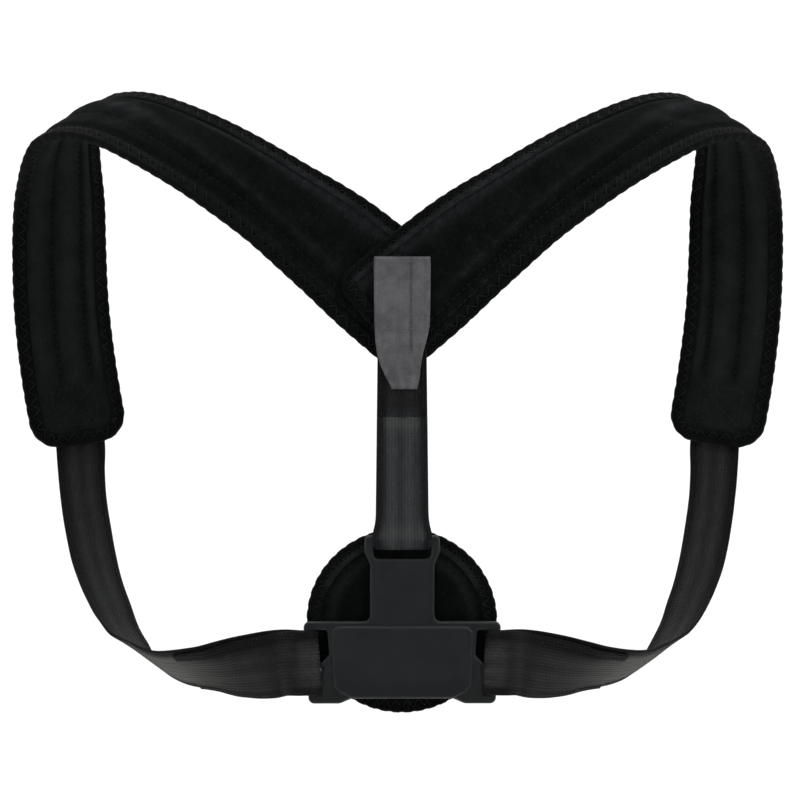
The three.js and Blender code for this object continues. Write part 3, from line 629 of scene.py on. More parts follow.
def pad_surface(side, length, at, v):
    """Heights of a pad's outer and inner sides above its middle, and its marks on each for painted sheen and
    for painted seam shade, at distances along it and shares of its width."""
    half = pad_half_width(at, length)
    crown = crown_share(at, length) * CROWN_HEIGHT
    x = (2 * v - 1) * half
    inset = half - np.abs(x)
    pillow = smooth_step(inset, PILLOW_START, PILLOW_START + 6)
    fade = smooth_step(at, *SEAMS_START) * (1 - smooth_step(at, *(length - np.array(SEAMS_END))))
    share = at / length
    ridge_at = np.interp(share, SEAM_PLACES, RIDGE)
    fold_at = np.interp(share, SEAM_PLACES, FOLD)
    ridge = smooth_step(v, ridge_at - 0.15, ridge_at - 0.01) * (1 - smooth_step(v, ridge_at + 0.01, fold_at))
    beat = 0.5 + 0.5 * np.cos(4 * math.pi * at / STITCH_PERIOD)
    low = bell(v, fold_at, 0.03)
    seams = (low + 0.3 * bell(v, LOWER_SEAM - 0.04, 0.018) + 0.3 * bell(v, UPPER_SEAM, 0.02)) * fade
    folds = np.zeros(np.shape(x))
    for along, across, lean, width, height in CREST_FOLDS:
        away = (share - along) * length - lean * (v - across) * 2 * half
        folds = folds + height * bell(v, across, 0.2) * bell(away, 0, width * 100)
    lumps = ripple(at, x, 3.1 + side, 19) * 0.55 + ripple(at, x, 9.7 + side, 8) * 0.3
    fuzz = ripple(at, x, 15.3 + side, 3.2) * 0.12
    outer = HALF_LIP + crown * pillow * (1 + 0.55 * ridge * fade)
    outer = outer + pillow * (0.55 * lumps + fuzz + 0.7 * folds - 0.6 * seams * (0.5 + 0.5 * beat))
    beside = np.exp(-np.clip(inset - TAPE_REACH, 0, None) / 2.6)
    puckers = (0.5 + 0.5 * np.cos(2 * math.pi * at / STITCH_PERIOD)) * beside
    outer = outer + pillow * 0.35 * puckers
    end_zone = smooth_step(length - at, SEWN_LENGTH - 6, SEWN_LENGTH + 6 + 40 * (v - 0.5) ** 2)
    channels = sum(bell(v, c, 0.026) for c in INNER_CHANNELS) * end_zone
    lanes = sum(bell(v, middle, 1.2 * width) for middle, width in INNER_LANES) * 2 * end_zone - 1
    creases = ripple(at * 0.35, x, 21.3 + side, 9) * 0.3
    inner = HALF_LIP + crown * pillow * (1 + 0.14 * lanes)
    depth = np.minimum(crown / CROWN_HEIGHT + 0.15, 1)
    inner = inner + pillow * (0.35 * lumps + fuzz + creases - 1.1 * channels * depth + 0.25 * puckers)
    # Painted sheen on the outer side: highlights along the ridge and over the crest, on the lower seam's
    # ladder and the folds, near the yoke and on the rim beside the binding
    patchy = 0.8 + 0.8 * ripple(at, x, 33.1 + side, 6)
    crest = bell(share, *CREST)
    near_yoke = 1 - smooth_step(share, *NEAR_YOKE)
    rim = bell(inset, TAPE_REACH + 2 + near_yoke, 2 + 1.5 * near_yoke)
    rim = rim * (v < 0.5) * (1 - smooth_step(share, *RIM_END))
    ladder = 0.6 + 0.4 * np.cos(2 * math.pi * (at + 2) / STITCH_PERIOD)
    painted_sheen_out = (0.32 + 0.3 * crest) * bell(v, ridge_at - 0.01, 0.035 + 0.05 * crest)
    painted_sheen_out = fade * (painted_sheen_out + 0.3 * ladder * bell(v, LOWER_SEAM, 0.035)) + 0.4 * folds
    painted_sheen_out = (painted_sheen_out + 0.1 * near_yoke) * patchy + 0.7 * rim * (0.6 + 0.7 * puckers)
    # Painted sheen along the lining's puffed lanes
    painted_sheen_in = sum(0.4 * bell(v, middle, width) for middle, width in INNER_LANES) * end_zone
    # Painted shade in the fold below the ridge and beside the lower seam
    seam_shade_out = fade * (0.8 * low + 0.4 * bell(v, LOWER_SEAM + 0.045, 0.016)) * (0.5 + 0.5 * beat)
    marks = {"sheen": (painted_sheen_out, painted_sheen_in), "seam": (seam_shade_out, 0.75 * channels)}
    marks = {mark: np.clip(values, 0, 1) for mark, values in marks.items()}
    return np.maximum((outer, inner), LEAST_HEIGHT), marks


def shoulder_pad(word, side):
    band = pad_band(side)
    at = pad_stations(band.length)
    centre, _, across, outward = band.frames(at)
    v = np.broadcast_to(column_shares(PAD_COLUMNS, 0.5), (len(at), PAD_COLUMNS))
    u = np.broadcast_to(at[:, None], v.shape)
    (outer, inner), marks = pad_surface(side, band.length, u, v)
    marks["lining"] = (np.zeros(v.shape), np.ones(v.shape))
    x = (2 * v - 1) * pad_half_width(u, band.length)
    faces = surfaces(centre, across, outward, x, outer, -inner)
    piece = make_sheet(f"{word}_pad", *faces, np.stack([u, x], -1), marks)
    show(piece, "pad_cloth", f"{word}_shoulder_pad")


# Stitches

THREAD_RADIUS = 0.24
THREAD_SIDES = 6
STITCH_LENGTH = 2.7
STITCH_GAP = 0.9
# How far a stitch's points stand out of the cloth, as shares of its thread's radius
STITCH_RISE = np.array([-0.8, 0.35, 0.6, 0.35, -0.8])
THREAD_TAPER = 0.45


def tube(path, normals, radius, first=0):
    """Points and faces of a closed thread along a path, thinner at its ends, with places along it."""
    along = unit(np.gradient(path, axis=0))
    beside = unit(np.cross(along, normals))
    above = np.cross(beside, along)
    angle = np.linspace(0, 2 * math.pi, THREAD_SIDES, endpoint=False)
    taper = np.ones(len(path))
    taper[0] = taper[-1] = THREAD_TAPER
    reach = (radius * taper)[:, None, None]
    rings = path[:, None] + reach * (
        beside[:, None] * np.cos(angle)[None, :, None] + above[:, None] * np.sin(angle)[None, :, None]
    )
    faces = [[first + i for i in f] for f in ring_faces(len(path), THREAD_SIDES, capped=False)]
    faces.append([first + i for i in range(THREAD_SIDES)][::-1])
    last = first + (len(path) - 1) * THREAD_SIDES
    faces.append([last + i for i in range(THREAD_SIDES)])
    run = distances(path)
    uv = np.stack(np.broadcast_arrays(run[:, None], angle[None, :]), -1)
    return rings.reshape(-1, 3), faces, uv.reshape(-1, 2)


class Threads:
    """Threads gathered into one mesh."""

    def __init__(self):
        self.points = []
        self.faces = []
        self.uvs = []
        self.count = 0

    def add(self, path, normals, radius=THREAD_RADIUS):
        points, faces, uv = tube(path, normals, radius, self.count)
        self.points.append(points)
        self.faces.extend(faces)
        self.uvs.append(uv)
        self.count += len(points)

    def stitch(self, path, normals, length=STITCH_LENGTH, gap=STITCH_GAP, radius=THREAD_RADIUS):
        """A row of single stitches that dip into the cloth at their ends."""
        run = distances(path)
        count = max(1, round(run[-1] / (length + gap)))
        pitch = run[-1] / count
        span = pitch * length / (length + gap)
        for i in range(count):
            at = i * pitch + (pitch - span) / 2 + span * np.linspace(0, 1, len(STITCH_RISE))
            ups = unit(read_off(at, run, normals))
            self.add(read_off(at, run, path) + ups * (STITCH_RISE * radius)[:, None], ups, radius)

    def finish(self, name, slot, material="thread"):
        piece = make_mesh(name, np.concatenate(self.points), self.faces, np.concatenate(self.uvs))
        show(face_out(piece), slot, material=material)


def pad_spots(side, at, v, inner=False):
    """Places on a pad's outer or inner side, and the directions out of it."""
    band = pad_band(side)
    centre, _, across, outward = band.frames(at)
    height = pad_surface(side, band.length, at, v)[0][int(inner)]
    x = (2 * v - 1) * pad_half_width(at, band.length)
    way = -1 if inner else 1
    return centre + across * x[:, None] + outward * (way * height)[:, None], outward * way


# The rows of stitches on the outer side: their places, and how far from the pad's end they stop
OUTER_ROWS = ((FOLD, 96), (LOWER_SEAM, 104))
ROW_START = 12


def pad_seams(word, side):
    """Rows of stitches along a pad, and the box of stitches that holds the side strap, seen inside."""
    threads = Threads()
    length = pad_band(side).length
    for share, end in OUTER_ROWS:
        at = np.linspace(ROW_START, length - end, 260)
        share = np.interp(at / length, SEAM_PLACES, np.broadcast_to(share, len(SEAM_PLACES)))
        threads.stitch(*pad_spots(side, at, share))
    for share in INNER_CHANNELS:
        at = np.linspace(ROW_START, length - SEWN_LENGTH - 4, 300)
        threads.stitch(*pad_spots(side, at, np.full(len(at), share), inner=True))
    for path_at, path_v in box_rows(length):
        threads.stitch(*pad_spots(side, path_at, path_v, inner=True), **BOX_STITCH)
    threads.finish(f"{word}_pad_stitches", "pad_cloth")


BOX_WIDTH = 0.46
BOX_STITCH = {"length": 2.4, "gap": 0.7}


def box_rows(length):
    """The rows of a sewn box with a cross in it, near a pad's end."""
    low = length - SEWN_LENGTH + 4
    high = length - TAPE_REACH - 3
    left = 0.5 - BOX_WIDTH / 2
    right = 0.5 + BOX_WIDTH / 2
    corners = [(low, left), (low, right), (high, right), (high, left)]
    ends = [(corners[i], corners[(i + 1) % 4]) for i in range(4)]
    ends += [(corners[0], corners[2]), (corners[1], corners[3])]
    for (at0, v0), (at1, v1) in ends:
        yield np.linspace(at0, at1, 40), np.linspace(v0, v1, 40)


# Binding tape


SECTION_POINTS = 16
NOSE_POINTS = 11
NOSE_START = SEAM_GAP * 0.4
NOSE_REACH = TAPE_THICKNESS * 1.35
PIT_PLACE = 2.3
PIT_WIDTH = 0.95
PIT_DEPTH = 0.7
ZIGZAG = (1.5, 5.3)
ZIGZAG_RADIUS = 0.27
ZIGZAG_STEPS = 10


def tape_rounds():
    """The tape's section: points out from the edge and above its middle plane, and how many of them are on
    its outside."""
    outer = [(x, TAPE_OUTSIDE) for x in np.linspace(-TAPE_REACH, NOSE_START, SECTION_POINTS)]
    turn = np.linspace(math.pi / 2, -math.pi / 2, NOSE_POINTS)[1:-1]
    nose = [(NOSE_START + NOSE_REACH * math.cos(a), TAPE_OUTSIDE * math.sin(a)) for a in turn]
    skin = outer + nose + [(x, -h) for x, h in outer[::-1]]
    lining = [(-TAPE_REACH, -TAPE_INSIDE + 0.1), (SEAM_GAP * 0.3, -TAPE_INSIDE + 0.3)]
    lining += [(x, -h) for x, h in lining[::-1]]
    return np.array(skin + lining), len(skin)


def tape_relief(out, phase):
    """How far the stitches pull the tape in, and how far it swells between them."""
    held = smooth_step(np.cos(phase), -0.15, 0.6)
    free = 1 - smooth_step(np.cos(phase), -0.6, 0.3)
    pit = held * smooth_step(PIT_WIDTH - np.abs(out + PIT_PLACE), -0.35, 0.35)
    swell = 0.2 * free * bell(out, -1.2, 2.0)
    inner = 0.22 * held * bell(out, 0.4 - TAPE_REACH, 0.9)
    return PIT_DEPTH * pit, swell - inner, pit


def bind_edge(name, node, point, away, outward, run, period=STITCH_PERIOD):
    """Binding tape round a closed line of edge points, drawn in by a zigzag of thread on each face. Where the
    edge faces up, behind the shoulders, the tape's inner half gets a painted highlight."""
    section, skin = tape_rounds()
    out, height = section[:, 0], section[:, 1]
    total = run[-1] + np.linalg.norm(point[0] - point[-1])
    count = max(1, round(total / period))
    phase = 2 * math.pi * count * run / total
    on_skin = np.arange(len(section)) < skin
    dip, swell, pit = tape_relief(out, phase[:, None])
    rounding = (1 - smooth_step(out + TAPE_REACH, 0, 0.8)) * 0.35
    heights = height - np.sign(height) * (dip - swell + rounding) * on_skin
    nose = (out > -0.6) * on_skin
    outs = out - 0.3 * nose * smooth_step(np.cos(phase), -0.2, 1)[:, None]
    (rings,) = surfaces(point, away, outward, outs, heights)
    # Painted highlight where the edge faces up, behind the shoulders
    painted_highlight = smooth_step(away[:, 2], 0.3, 0.6) * smooth_step(-point[:, 1], 30, 50)
    inner = smooth_step(-out, 2.6, 4.2) * (0.08 + 0.92 * painted_highlight[:, None])
    faces = ring_faces(len(rings), len(section), looped=True)
    uv = np.stack(np.broadcast_arrays(run[:, None], out), -1).reshape(-1, 2)
    piece = make_mesh(name, rings.reshape(-1, 3), faces, uv, {"pit": pit * on_skin, "inner": inner})
    show(face_out(piece), "binding_tape", node)
    zigzag(name, point, away, outward, run, total, count)


def zigzag(name, point, away, outward, run, total, count):
    """The thread that holds the tape: across it and back once for each pit."""
    threads = Threads()
    steps = ZIGZAG_STEPS
    at = np.arange(count * steps + 1) * total / (count * steps)
    phase = 2 * math.pi * at * count / total
    wave = 2 * np.abs(((phase / (2 * math.pi)) % 1) - 0.5)
    out = -mix(ZIGZAG[1], ZIGZAG[0], smooth_step(wave, 0.04, 0.96) * 0.35 + wave * 0.65)
    around = np.concatenate([run, [total]])
    places, outs, ups = (
        read_off(at, around, np.vstack([part, part[:1]])) for part in (point, away, outward)
    )
    dip, swell, _ = tape_relief(out, phase)
    height = TAPE_OUTSIDE - dip * 0.6 + swell + ZIGZAG_RADIUS * 0.35
    for way in (1, -1):
        path = places + unit(outs) * out[:, None] + unit(ups) * (way * height)[:, None]
        for i in range(0, count * steps, steps * 4):
            part = slice(i, min(i + steps * 4, count * steps) + 1)
            threads.add(path[part], unit(ups)[part] * way, ZIGZAG_RADIUS)
    threads.finish(f"{name}_thread", "binding_tape")


def pad_outline(side):
    """Points round a pad's edge, with the directions away from the pad and out of its outer side."""
    band = pad_band(side)
    at = pad_stations(band.length)
    half = pad_half_width(at, band.length)
    lean = np.clip(1 - (band.length - at) / PAD_CORNER_RADIUS, 0, 1)
    lean = lean - np.clip(1 - at / YOKE_CORNER_RADIUS, 0, 1)
    flat = np.arange(-0.9, 0.95, 0.1)

    def edge(places, across_at, lengthwise):
        centre, along, across, outward = band.frames(places)
        crosswise = np.sqrt(np.clip(1 - lengthwise**2, 0, 1)) * np.sign(across_at)
        away = unit(across * crosswise[:, None] + along * lengthwise[:, None])
        return centre + across * across_at[:, None], away, outward

    def end(place, way):
        straight = pad_half_width(np.array([place]), band.length)[0]
        return edge(np.full(len(flat), place), -way * flat * straight, np.full(len(flat), way))

    parts = [
        edge(at, half, lean),
        end(band.length, 1.0),
        edge(at[::-1], -half[::-1], lean[::-1]),
        end(0.0, -1.0),
    ]
    point, away, outward = (np.concatenate(group) for group in zip(*parts))
    return point, away, outward, distances(point)


# Webbing

RESAMPLE_FINENESS = 6000


def resample(points, edges, step):
    """Even steps along a path of points, with an edge direction at each."""
    t = np.linspace(0, 1, RESAMPLE_FINENESS)
    fine = smooth_curve(points, t)
    reached = distances(fine)
    at = np.linspace(0, reached[-1], int(reached[-1] / step) + 1)
    tt = np.interp(at, reached, t)
    centre = smooth_curve(points, tt)
    edge = smooth_curve(edges, tt)
    along = unit(np.gradient(centre, axis=0))
    across = square_to(along, edge)
    return at, centre, along, across


WEB_COLUMNS = 52
WEB_STEP = 1.1
SIDE_RIBS = 12
CENTRE_RIBS = 9


def web_band(name, path, edges, side, width, ribs, wavy, cup, lit, dim, shade=0.0):
    """A webbing strap with ribs along it and rounded selvedges. The width and what follows ribs may be given
    for each point of the path: wavy is how unevenly the strap lies, cup how far its middle stands proud of
    its edges, lit where it is paler by a painted sheen, dim where it is darker by painted shade, and shade
    where only its upper edge is darker by painted shade."""
    at, centre, along, across = resample(path, edges, WEB_STEP)
    outward = unit(np.cross(along, across) * -side)
    steps = distances(path)
    steps = steps * at[-1] / steps[-1]
    v = np.broadcast_to(column_shares(WEB_COLUMNS, 0.75), (len(at), WEB_COLUMNS))
    u = np.broadcast_to(at[:, None], v.shape)

    def along_it(values):
        values = np.interp(at, steps, np.broadcast_to(values, len(path)))
        return np.broadcast_to(values[:, None], v.shape)

    wide = along_it(width)
    x = (v - 0.5) * wide
    from_edge = wide / 2 - np.abs(x)
    round_off = np.sqrt(np.clip(1 - (1 - np.clip(from_edge / 0.7, 0, 1)) ** 2, 0, 1))
    rib = 0.09 * np.cos(2 * math.pi * ribs * v)
    border = -0.16 * bell(from_edge, 3.4, 0.6)
    half = WEBBING_THICKNESS / 2 * (0.25 + 0.75 * round_off) + (rib + border) * round_off
    sway = along_it(wavy) * ripple(u, x * 0.45, len(name) * 1.7, 12)
    sway = sway + along_it(cup) * (np.cos(math.pi * (v - 0.5)) - 0.6)
    faces = surfaces(centre, across, outward, x, sway + half, sway - half)
    dim = np.maximum(along_it(dim), along_it(shade) * bell(v, 0.875, 0.09))
    marks = {"from_edge": from_edge * MM, "lit": along_it(lit), "dim": dim}
    marks = {mark: (values, values) for mark, values in marks.items()}
    return make_sheet(name, *faces, np.stack([u, x], -1), marks)


TURN_STEPS = 14
RUN_STATIONS = 110
TAIL_STATIONS = 40
SETTLE_LENGTH = 20.0


def turn_round_bar(centre, inward):
    """Points of webbing that goes round a bar: in behind it and out in front."""
    angles = np.linspace(0, math.pi, TURN_STEPS + 1)[:, None]
    back = np.array([0.0, 1.0, 0.0])
    return centre + inward * TURN_RADIUS * np.sin(angles) + back * TURN_RADIUS * np.cos(angles)


def tail_height(back):
    return mix(2 * TURN_RADIUS, LAYER, smooth_step(back, BAR_WIDTH, SETTLE_LENGTH))


BAR_LEAN = 0.085
# The elastic webbing's width where it is drawn tight, as a share, and how far its free end has slipped down
DRAWN_WIDTH = 0.84
TAIL_SLIP = 2.0
# Where a side strap has a painted sheen, as a share of its length, and how much painted sheen its fold gets
SHEEN_SPOT = (0.69, 0.08)
FOLD_LIT = 0.12


def side_strap(word, side):
    """A side strap from its sewn end, down and round the flank to the buckle, through it and back. Its bar
    leans as the strap's own direction does."""
    pad = pad_band(side)
    lift = SEWN_HALF_THICKNESS + SEAM_GAP + WEBBING_THICKNESS / 2
    sewn_at = pad.length - SEWN_LENGTH * (1 - np.linspace(0, 1, 5))
    centre, _, across, outward = pad.frames(sewn_at)
    upward = unit(np.array([side * BAR_LEAN, 0.0, 1.0]))
    inward = unit(np.array([-side, 0.0, BAR_LEAN]))
    bar_out = SIDE_BAR_INNER_EDGE + BUCKLE_BEVEL
    near_bar = [(side * out, WEBBING_PLANE, -BACK_LENGTH) for out in (bar_out + BAR_WIDTH, bar_out)]
    points = np.vstack([centre + outward * lift, row_places(SIDE_STRAP_ROWS, side), near_bar])
    edges = np.vstack([across, row_edges(SIDE_STRAP_ROWS, side), [upward, upward]])
    base = Band(points, edges, side)
    stations = np.linspace(0, base.length, RUN_STATIONS)[:-1]
    run_points, _, run_edges, _ = base.frames(stations)
    bar = turn_round_bar(np.array([side * bar_out, BUCKLE_PLANE, -BACK_LENGTH]), inward)
    back = np.linspace(0, SIDE_TAIL_LENGTH, TAIL_STATIONS)[1:]
    tail_centre, _, tail_across, tail_outward = base.frames(base.length - back)
    slip = TAIL_SLIP * (smooth_step(back, 4, 26) - smooth_step(back, 52, 78))[:, None]
    tail = tail_centre + tail_outward * tail_height(back)[:, None] - tail_across * slip
    path = np.vstack([run_points, bar, tail])
    turning = np.vstack([run_edges, np.repeat([upward], len(bar), axis=0), tail_across])

    def over(run, turn, tail):
        """Values on the run, on the turn round the bar and on the tail."""
        return np.concatenate([run, np.full(len(bar), turn), np.broadcast_to(tail, len(back))])

    share = stations / base.length
    place = over(share, 1, 1 - back / base.length)
    cup = over(0.9 * bell(share, 0.56, 0.07) - 0.5 * bell(share, 0.36, 0.07), 0, 0)
    drawn = mix(DRAWN_WIDTH, 1, smooth_step(share, 0.5, 0.72))
    width = SIDE_WEBBING_WIDTH * over(drawn, 1, 1 - 0.1 * smooth_step(back, 48, SIDE_TAIL_LENGTH))
    # Painted sheen on the strap's turn and on its fold round the bar
    lit = bell(place, *SHEEN_SPOT)
    lit[len(share) + len(bar) // 2 : len(share) + len(bar) + 2] += FOLD_LIT
    # Painted shade on the run and tail near the buckle, and along the upper edge under the fold-over
    tail_shade = 0.5 * smooth_step(back, 3, 8) * (1 - smooth_step(back, 18, 44))
    dim = over(smooth_step(share, 0.74, 0.86) * 0.9, 0, tail_shade)
    shade = smooth_step(place, 0.7, 0.8) * (1 - 0.4 * smooth_step(place, 0.95, 0.99))
    wavy = 0.22 + 0.45 * bell(over(share, 0, 0), 0.57, 0.07)
    piece = web_band(f"{word}_strap", path, turning, side, width, SIDE_RIBS, wavy, cup, lit, dim, shade)
    show(piece, "black_webbing", f"{word}_side_strap")
    strap_box(word, side)


def strap_box(word, side):
    """The sewn box with a cross in it that holds a side strap to its pad, seen on the strap."""
    pad = pad_band(side)
    lift = SEWN_HALF_THICKNESS + SEAM_GAP + WEBBING_THICKNESS + 0.3
    threads = Threads()
    for path_at, path_v in box_rows(pad.length):
        centre, _, across, outward = pad.frames(path_at)
        x = (2 * path_v - 1) * PAD_WIDTH / 2
        threads.stitch(centre + across * x[:, None] + outward * lift, outward, **BOX_STITCH)
    threads.finish(f"{word}_strap_stitches", "black_webbing")


def centre_strap():
    bar_height = -BACK_LENGTH + TOP_BAR_LOWER_EDGE + BUCKLE_BEVEL
    top = -TAB_DROP - 2.0
    down = np.linspace(top, bar_height, 40)[:-1]
    run = [(0.0, WEBBING_PLANE, z) for z in down]
    bar = turn_round_bar(np.array([0.0, BUCKLE_PLANE, bar_height]), np.array([0.0, 0.0, -1.0]))
    back = np.linspace(0, CENTRE_TAIL_LENGTH, 30)[1:]
    tail = [(0.0, WEBBING_PLANE - h, bar_height + b) for b, h in zip(back, tail_height(back))]
    path = np.vstack([run, bar, tail])
    edges = np.repeat([[1.0, 0.0, 0.0]], len(path), axis=0)
    height = path[:, 2]
    narrow = mix(0.95, DRAWN_WIDTH, np.clip((height - bar_height) / (top - bar_height), 0, 1))
    flare = 0.14 * bell(height, bar_height + 2, 6)
    on_tail = np.arange(len(path)) >= len(run) + len(bar)
    width = CENTRE_WEBBING_WIDTH * (narrow + flare * np.where(on_tail, 0.9, 0.35))
    cup = np.where(on_tail, 0.3, 0.1)
    tail_end = bar_height + CENTRE_TAIL_LENGTH
    # Painted highlights near the tail's free end and just above the bar
    lit = 0.5 * bell(height, tail_end - 3, 4) + 0.35 * bell(height, bar_height + 4, 4)
    # Painted shadow on the run down to the tail's free end, below the tab
    dim = 0.75 * smooth_step(height, tail_end - 1, tail_end + 4)
    lit, dim = np.where(on_tail, lit, 0), np.where(on_tail, 0, dim)
    piece = web_band("centre_webbing", path, edges, 1, width, CENTRE_RIBS, 0.1, cup, lit, dim)
    show(piece, "grey_webbing", "centre_strap")


# The tab's half-widths down its left and right sides, as it is drawn in at its lower end
TAB_SIDES = table(("down", "left", "right"), [
    (0.0, 13.6, 13.8),
    (1.5, 14.1, 14.25),
    (20.0, 14.0, 14.1),
    (34.0, 13.8, 13.8),
    (41.0, 13.4, 12.4),
    (48.0, 12.6, 10.4),
    (54.0, 11.0, 9.4),
    (60.0, 8.2, 8.8),
    (64.0, 6.0, 8.2),
    (66.0, 4.4, 7.0),
])
TAB_ROWS = 90
TAB_SEAM = 4.4
TAB_PLEATS = 2.5
# The corners of the tab's box of stitches: how far across it and how far down
TAB_BOX = [(-11.6, 2.6), (11.6, 2.6), (11.6, 36.0), (-11.6, 36.0), (-11.6, 2.6)]


def centre_tab():
    """The grey cloth tab, folded in at its sides, drawn in at its lower end and stitched down."""
    rows = np.linspace(0, TAB_LENGTH, TAB_ROWS)
    v = np.broadcast_to(column_shares(WEB_COLUMNS, 0.8), (TAB_ROWS, WEB_COLUMNS))
    down = [r["down"] for r in TAB_SIDES]
    spread = bell(rows[:, None], rows, 2.2)
    spread = spread / spread.sum(axis=1, keepdims=True)
    left, right = (spread @ np.interp(rows, down, [r[key] for r in TAB_SIDES]) for key in ("left", "right"))
    x = mix(-left[:, None], right[:, None], v)
    z = np.broadcast_to(-TAB_DROP - rows[:, None], v.shape)
    plane = WEBBING_PLANE - WEBBING_THICKNESS / 2 - SEAM_GAP - TAB_THICKNESS / 2
    from_side = np.minimum(x + left[:, None], right[:, None] - x)
    from_end = np.minimum(rows, TAB_LENGTH - rows)[:, None]
    edge = np.clip(np.minimum(from_side, from_end) / 0.9, 0, 1)
    rounded = np.sqrt(1 - (1 - edge) ** 2)
    seam = bell(x, TAB_SEAM, 0.55) * (1 - smooth_step(rows, 44, 50))[:, None]
    gathered = smooth_step(rows, 40, 60)[:, None]
    waves = np.cos(2 * math.pi * TAB_PLEATS * v)
    pleats = 0.35 * gathered * waves
    soft = 0.22 * ripple(z, x, 5.5, 12) + 0.1 * ripple(z, x, 8.5, 4)
    hem = 0.22 * (bell(from_side, 1.6, 1.0) + bell(from_end, 1.6, 1.0))
    thick = TAB_THICKNESS / 2 * (0.25 + 0.75 * rounded)
    lift = (hem + np.abs(soft) + pleats - 0.4 * seam) * rounded
    front = np.stack([x, plane - thick - np.clip(lift, -0.3, 0.8), z], -1)
    rear = np.stack([x, plane + thick, z], -1)
    shade = np.clip(0.75 * seam + 0.3 * gathered * (0.5 - 0.5 * waves), 0, 1)
    piece = make_sheet("grey_tab", front, rear, np.stack([-z, x], -1), {"shade": (shade, shade)})
    show(piece, "tab_cloth", "centre_tab")
    threads = Threads()
    face = plane - TAB_THICKNESS / 2 - 0.25
    for (x0, d0), (x1, d1) in zip(TAB_BOX, TAB_BOX[1:]):
        t = np.linspace(0, 1, 60)
        path = np.stack([mix(x0, x1, t), np.full(60, face), -TAB_DROP - mix(d0, d1, t)], -1)
        threads.stitch(path, np.repeat([[0.0, -1.0, 0.0]], 60, axis=0), length=2.2, gap=0.8, radius=0.2)
    threads.finish("tab_stitches", "tab_cloth", "grey_thread")


# The buckle

BEVEL_STEPS = 6
EDGE_BEVEL = 1.5
BODY_BEVEL = 1.8
BODY_DOME = 0.4
DOME_SHARES = (0.97, 0.9, 0.8, 0.65, 0.5, 0.35, 0.2, 0.08)
CORNER_STEPS = 7
# How straight a face of the buckle looks forwards or back when it isn't part of a rounded edge
FLAT_FACING = 0.985
# The buckle's outline from its top middle round its right half: how far out, how far up from the middle of
# its side slots, and the corner's radius
CORNER_COLUMNS = ("out", "up", "radius")
BUCKLE_SIDE = table(CORNER_COLUMNS, [
    (18.6, 63.3, 2.4),
    (18.9, 55.6, 6.0),
    (16.0, 49.0, 5.0),
    (16.0, 20.6, 3.2),
    (49.2, 20.6, 3.0),
    (46.4, -20.2, 3.0),
    (31.0, -20.2, 6.0),
    (24.0, -17.2, 6.0),
])
SIDE_SLOT = table(CORNER_COLUMNS, [
    (37.2, 16.4, 1.4),
    (44.6, 16.4, 1.4),
    (42.2, -15.8, 0.9),
    (40.3, -15.8, 0.8),
    (40.3, -0.4, 0.6),
    (36.3, 4.0, 2.0),
])
TOP_SLOT = table(
    CORNER_COLUMNS,
    [(-14.6, 58.8, 1.6), (14.6, 58.8, 1.6), (14.2, 51.6, 2.6), (-14.2, 51.6, 2.6)],
)
BUCKLE_BODY = table(
    CORNER_COLUMNS,
    [(35.6, 18.4, 4.5), (34.2, -13.6, 7.0), (25.0, -17.6, 9.0)],
)


def rounded_loop(corners):
    """An anticlockwise loop with its corners rounded, and the directions out of it."""
    spots, outs = [], []
    corners = np.asarray(corners, float)
    for i, (x, y, radius) in enumerate(corners):
        here = np.array([x, y])
        before = corners[i - 1, :2] - here
        after = corners[(i + 1) % len(corners), :2] - here
        a, b = before / np.linalg.norm(before), after / np.linalg.norm(after)
        turning = math.acos(np.clip(np.dot(-a, b), -1, 1))
        way = np.sign(a[1] * b[0] - a[0] * b[1])
        reach = radius * math.tan(turning / 2)
        reach = min(reach, 0.49 * np.linalg.norm(before), 0.49 * np.linalg.norm(after))
        radius = reach / math.tan(turning / 2)
        normal = np.array([-a[1], a[0]]) * way
        pivot = here + a * reach - normal * radius
        first = math.atan2(normal[1], normal[0])
        for step in range(CORNER_STEPS + 1):
            angle = first + way * turning * step / CORNER_STEPS
            ray = np.array([math.cos(angle), math.sin(angle)])
            spots.append(pivot + radius * ray)
            outs.append(ray * way)
    return np.array(spots), np.array(outs)


def corners_of(rows):
    return [(r["out"], r["up"], r["radius"]) for r in rows]


def mirrored(corners):
    return [(-x, y, radius) for x, y, radius in corners]


def both_halves(rows):
    """Corners of a loop that is the same left and right, anticlockwise, from its right half."""
    return corners_of(rows)[::-1] + mirrored(corners_of(rows))


def bevel_ring(loop, outs, half, bevel, angle, face):
    """A ring of a bevelled plate: x, its height towards a face, and z."""
    inset = bevel * (1 - math.cos(angle))
    flat = loop - outs * inset
    height = np.full(len(loop), face * (half - bevel + bevel * math.sin(angle)))
    return np.stack([flat[:, 0], height, flat[:, 1]], -1)


def join_rings(work, rings, order):
    """Smooth faces between rings of a bmesh's points, with their corners in an order."""
    for low, high in zip(rings, rings[1:]):
        for i in range(len(low)):
            j = (i + 1) % len(low)
            corners = (low[i], low[j], high[j], high[i])
            work.faces.new([corners[k] for k in order]).smooth = True


def bevelled_plate(work, loops, half, bevel, lift):
    """A flat plate with rounded edges in a bmesh, from an outline and its holes."""
    angles = np.linspace(0, math.pi / 2, BEVEL_STEPS + 1)
    rims = {1: [], -1: []}
    for loop, outs in loops:
        rings = [(-1, a) for a in angles[::-1]] + [(1, a) for a in angles]
        made = [
            [work.verts.new(p * MM) for p in bevel_ring(loop, outs, half, bevel, a, face) + lift]
            for face, a in rings
        ]
        join_rings(work, made, (0, 1, 2, 3))
        for face, ring in ((-1, made[0]), (1, made[-1])):
            rims[face].append([work.edges.get((a, b)) for a, b in zip(ring, ring[1:] + ring[:1])])
    for groups in rims.values():
        edges = [edge for group in groups for edge in group]
        bmesh.ops.triangle_fill(work, use_beauty=True, edges=edges)


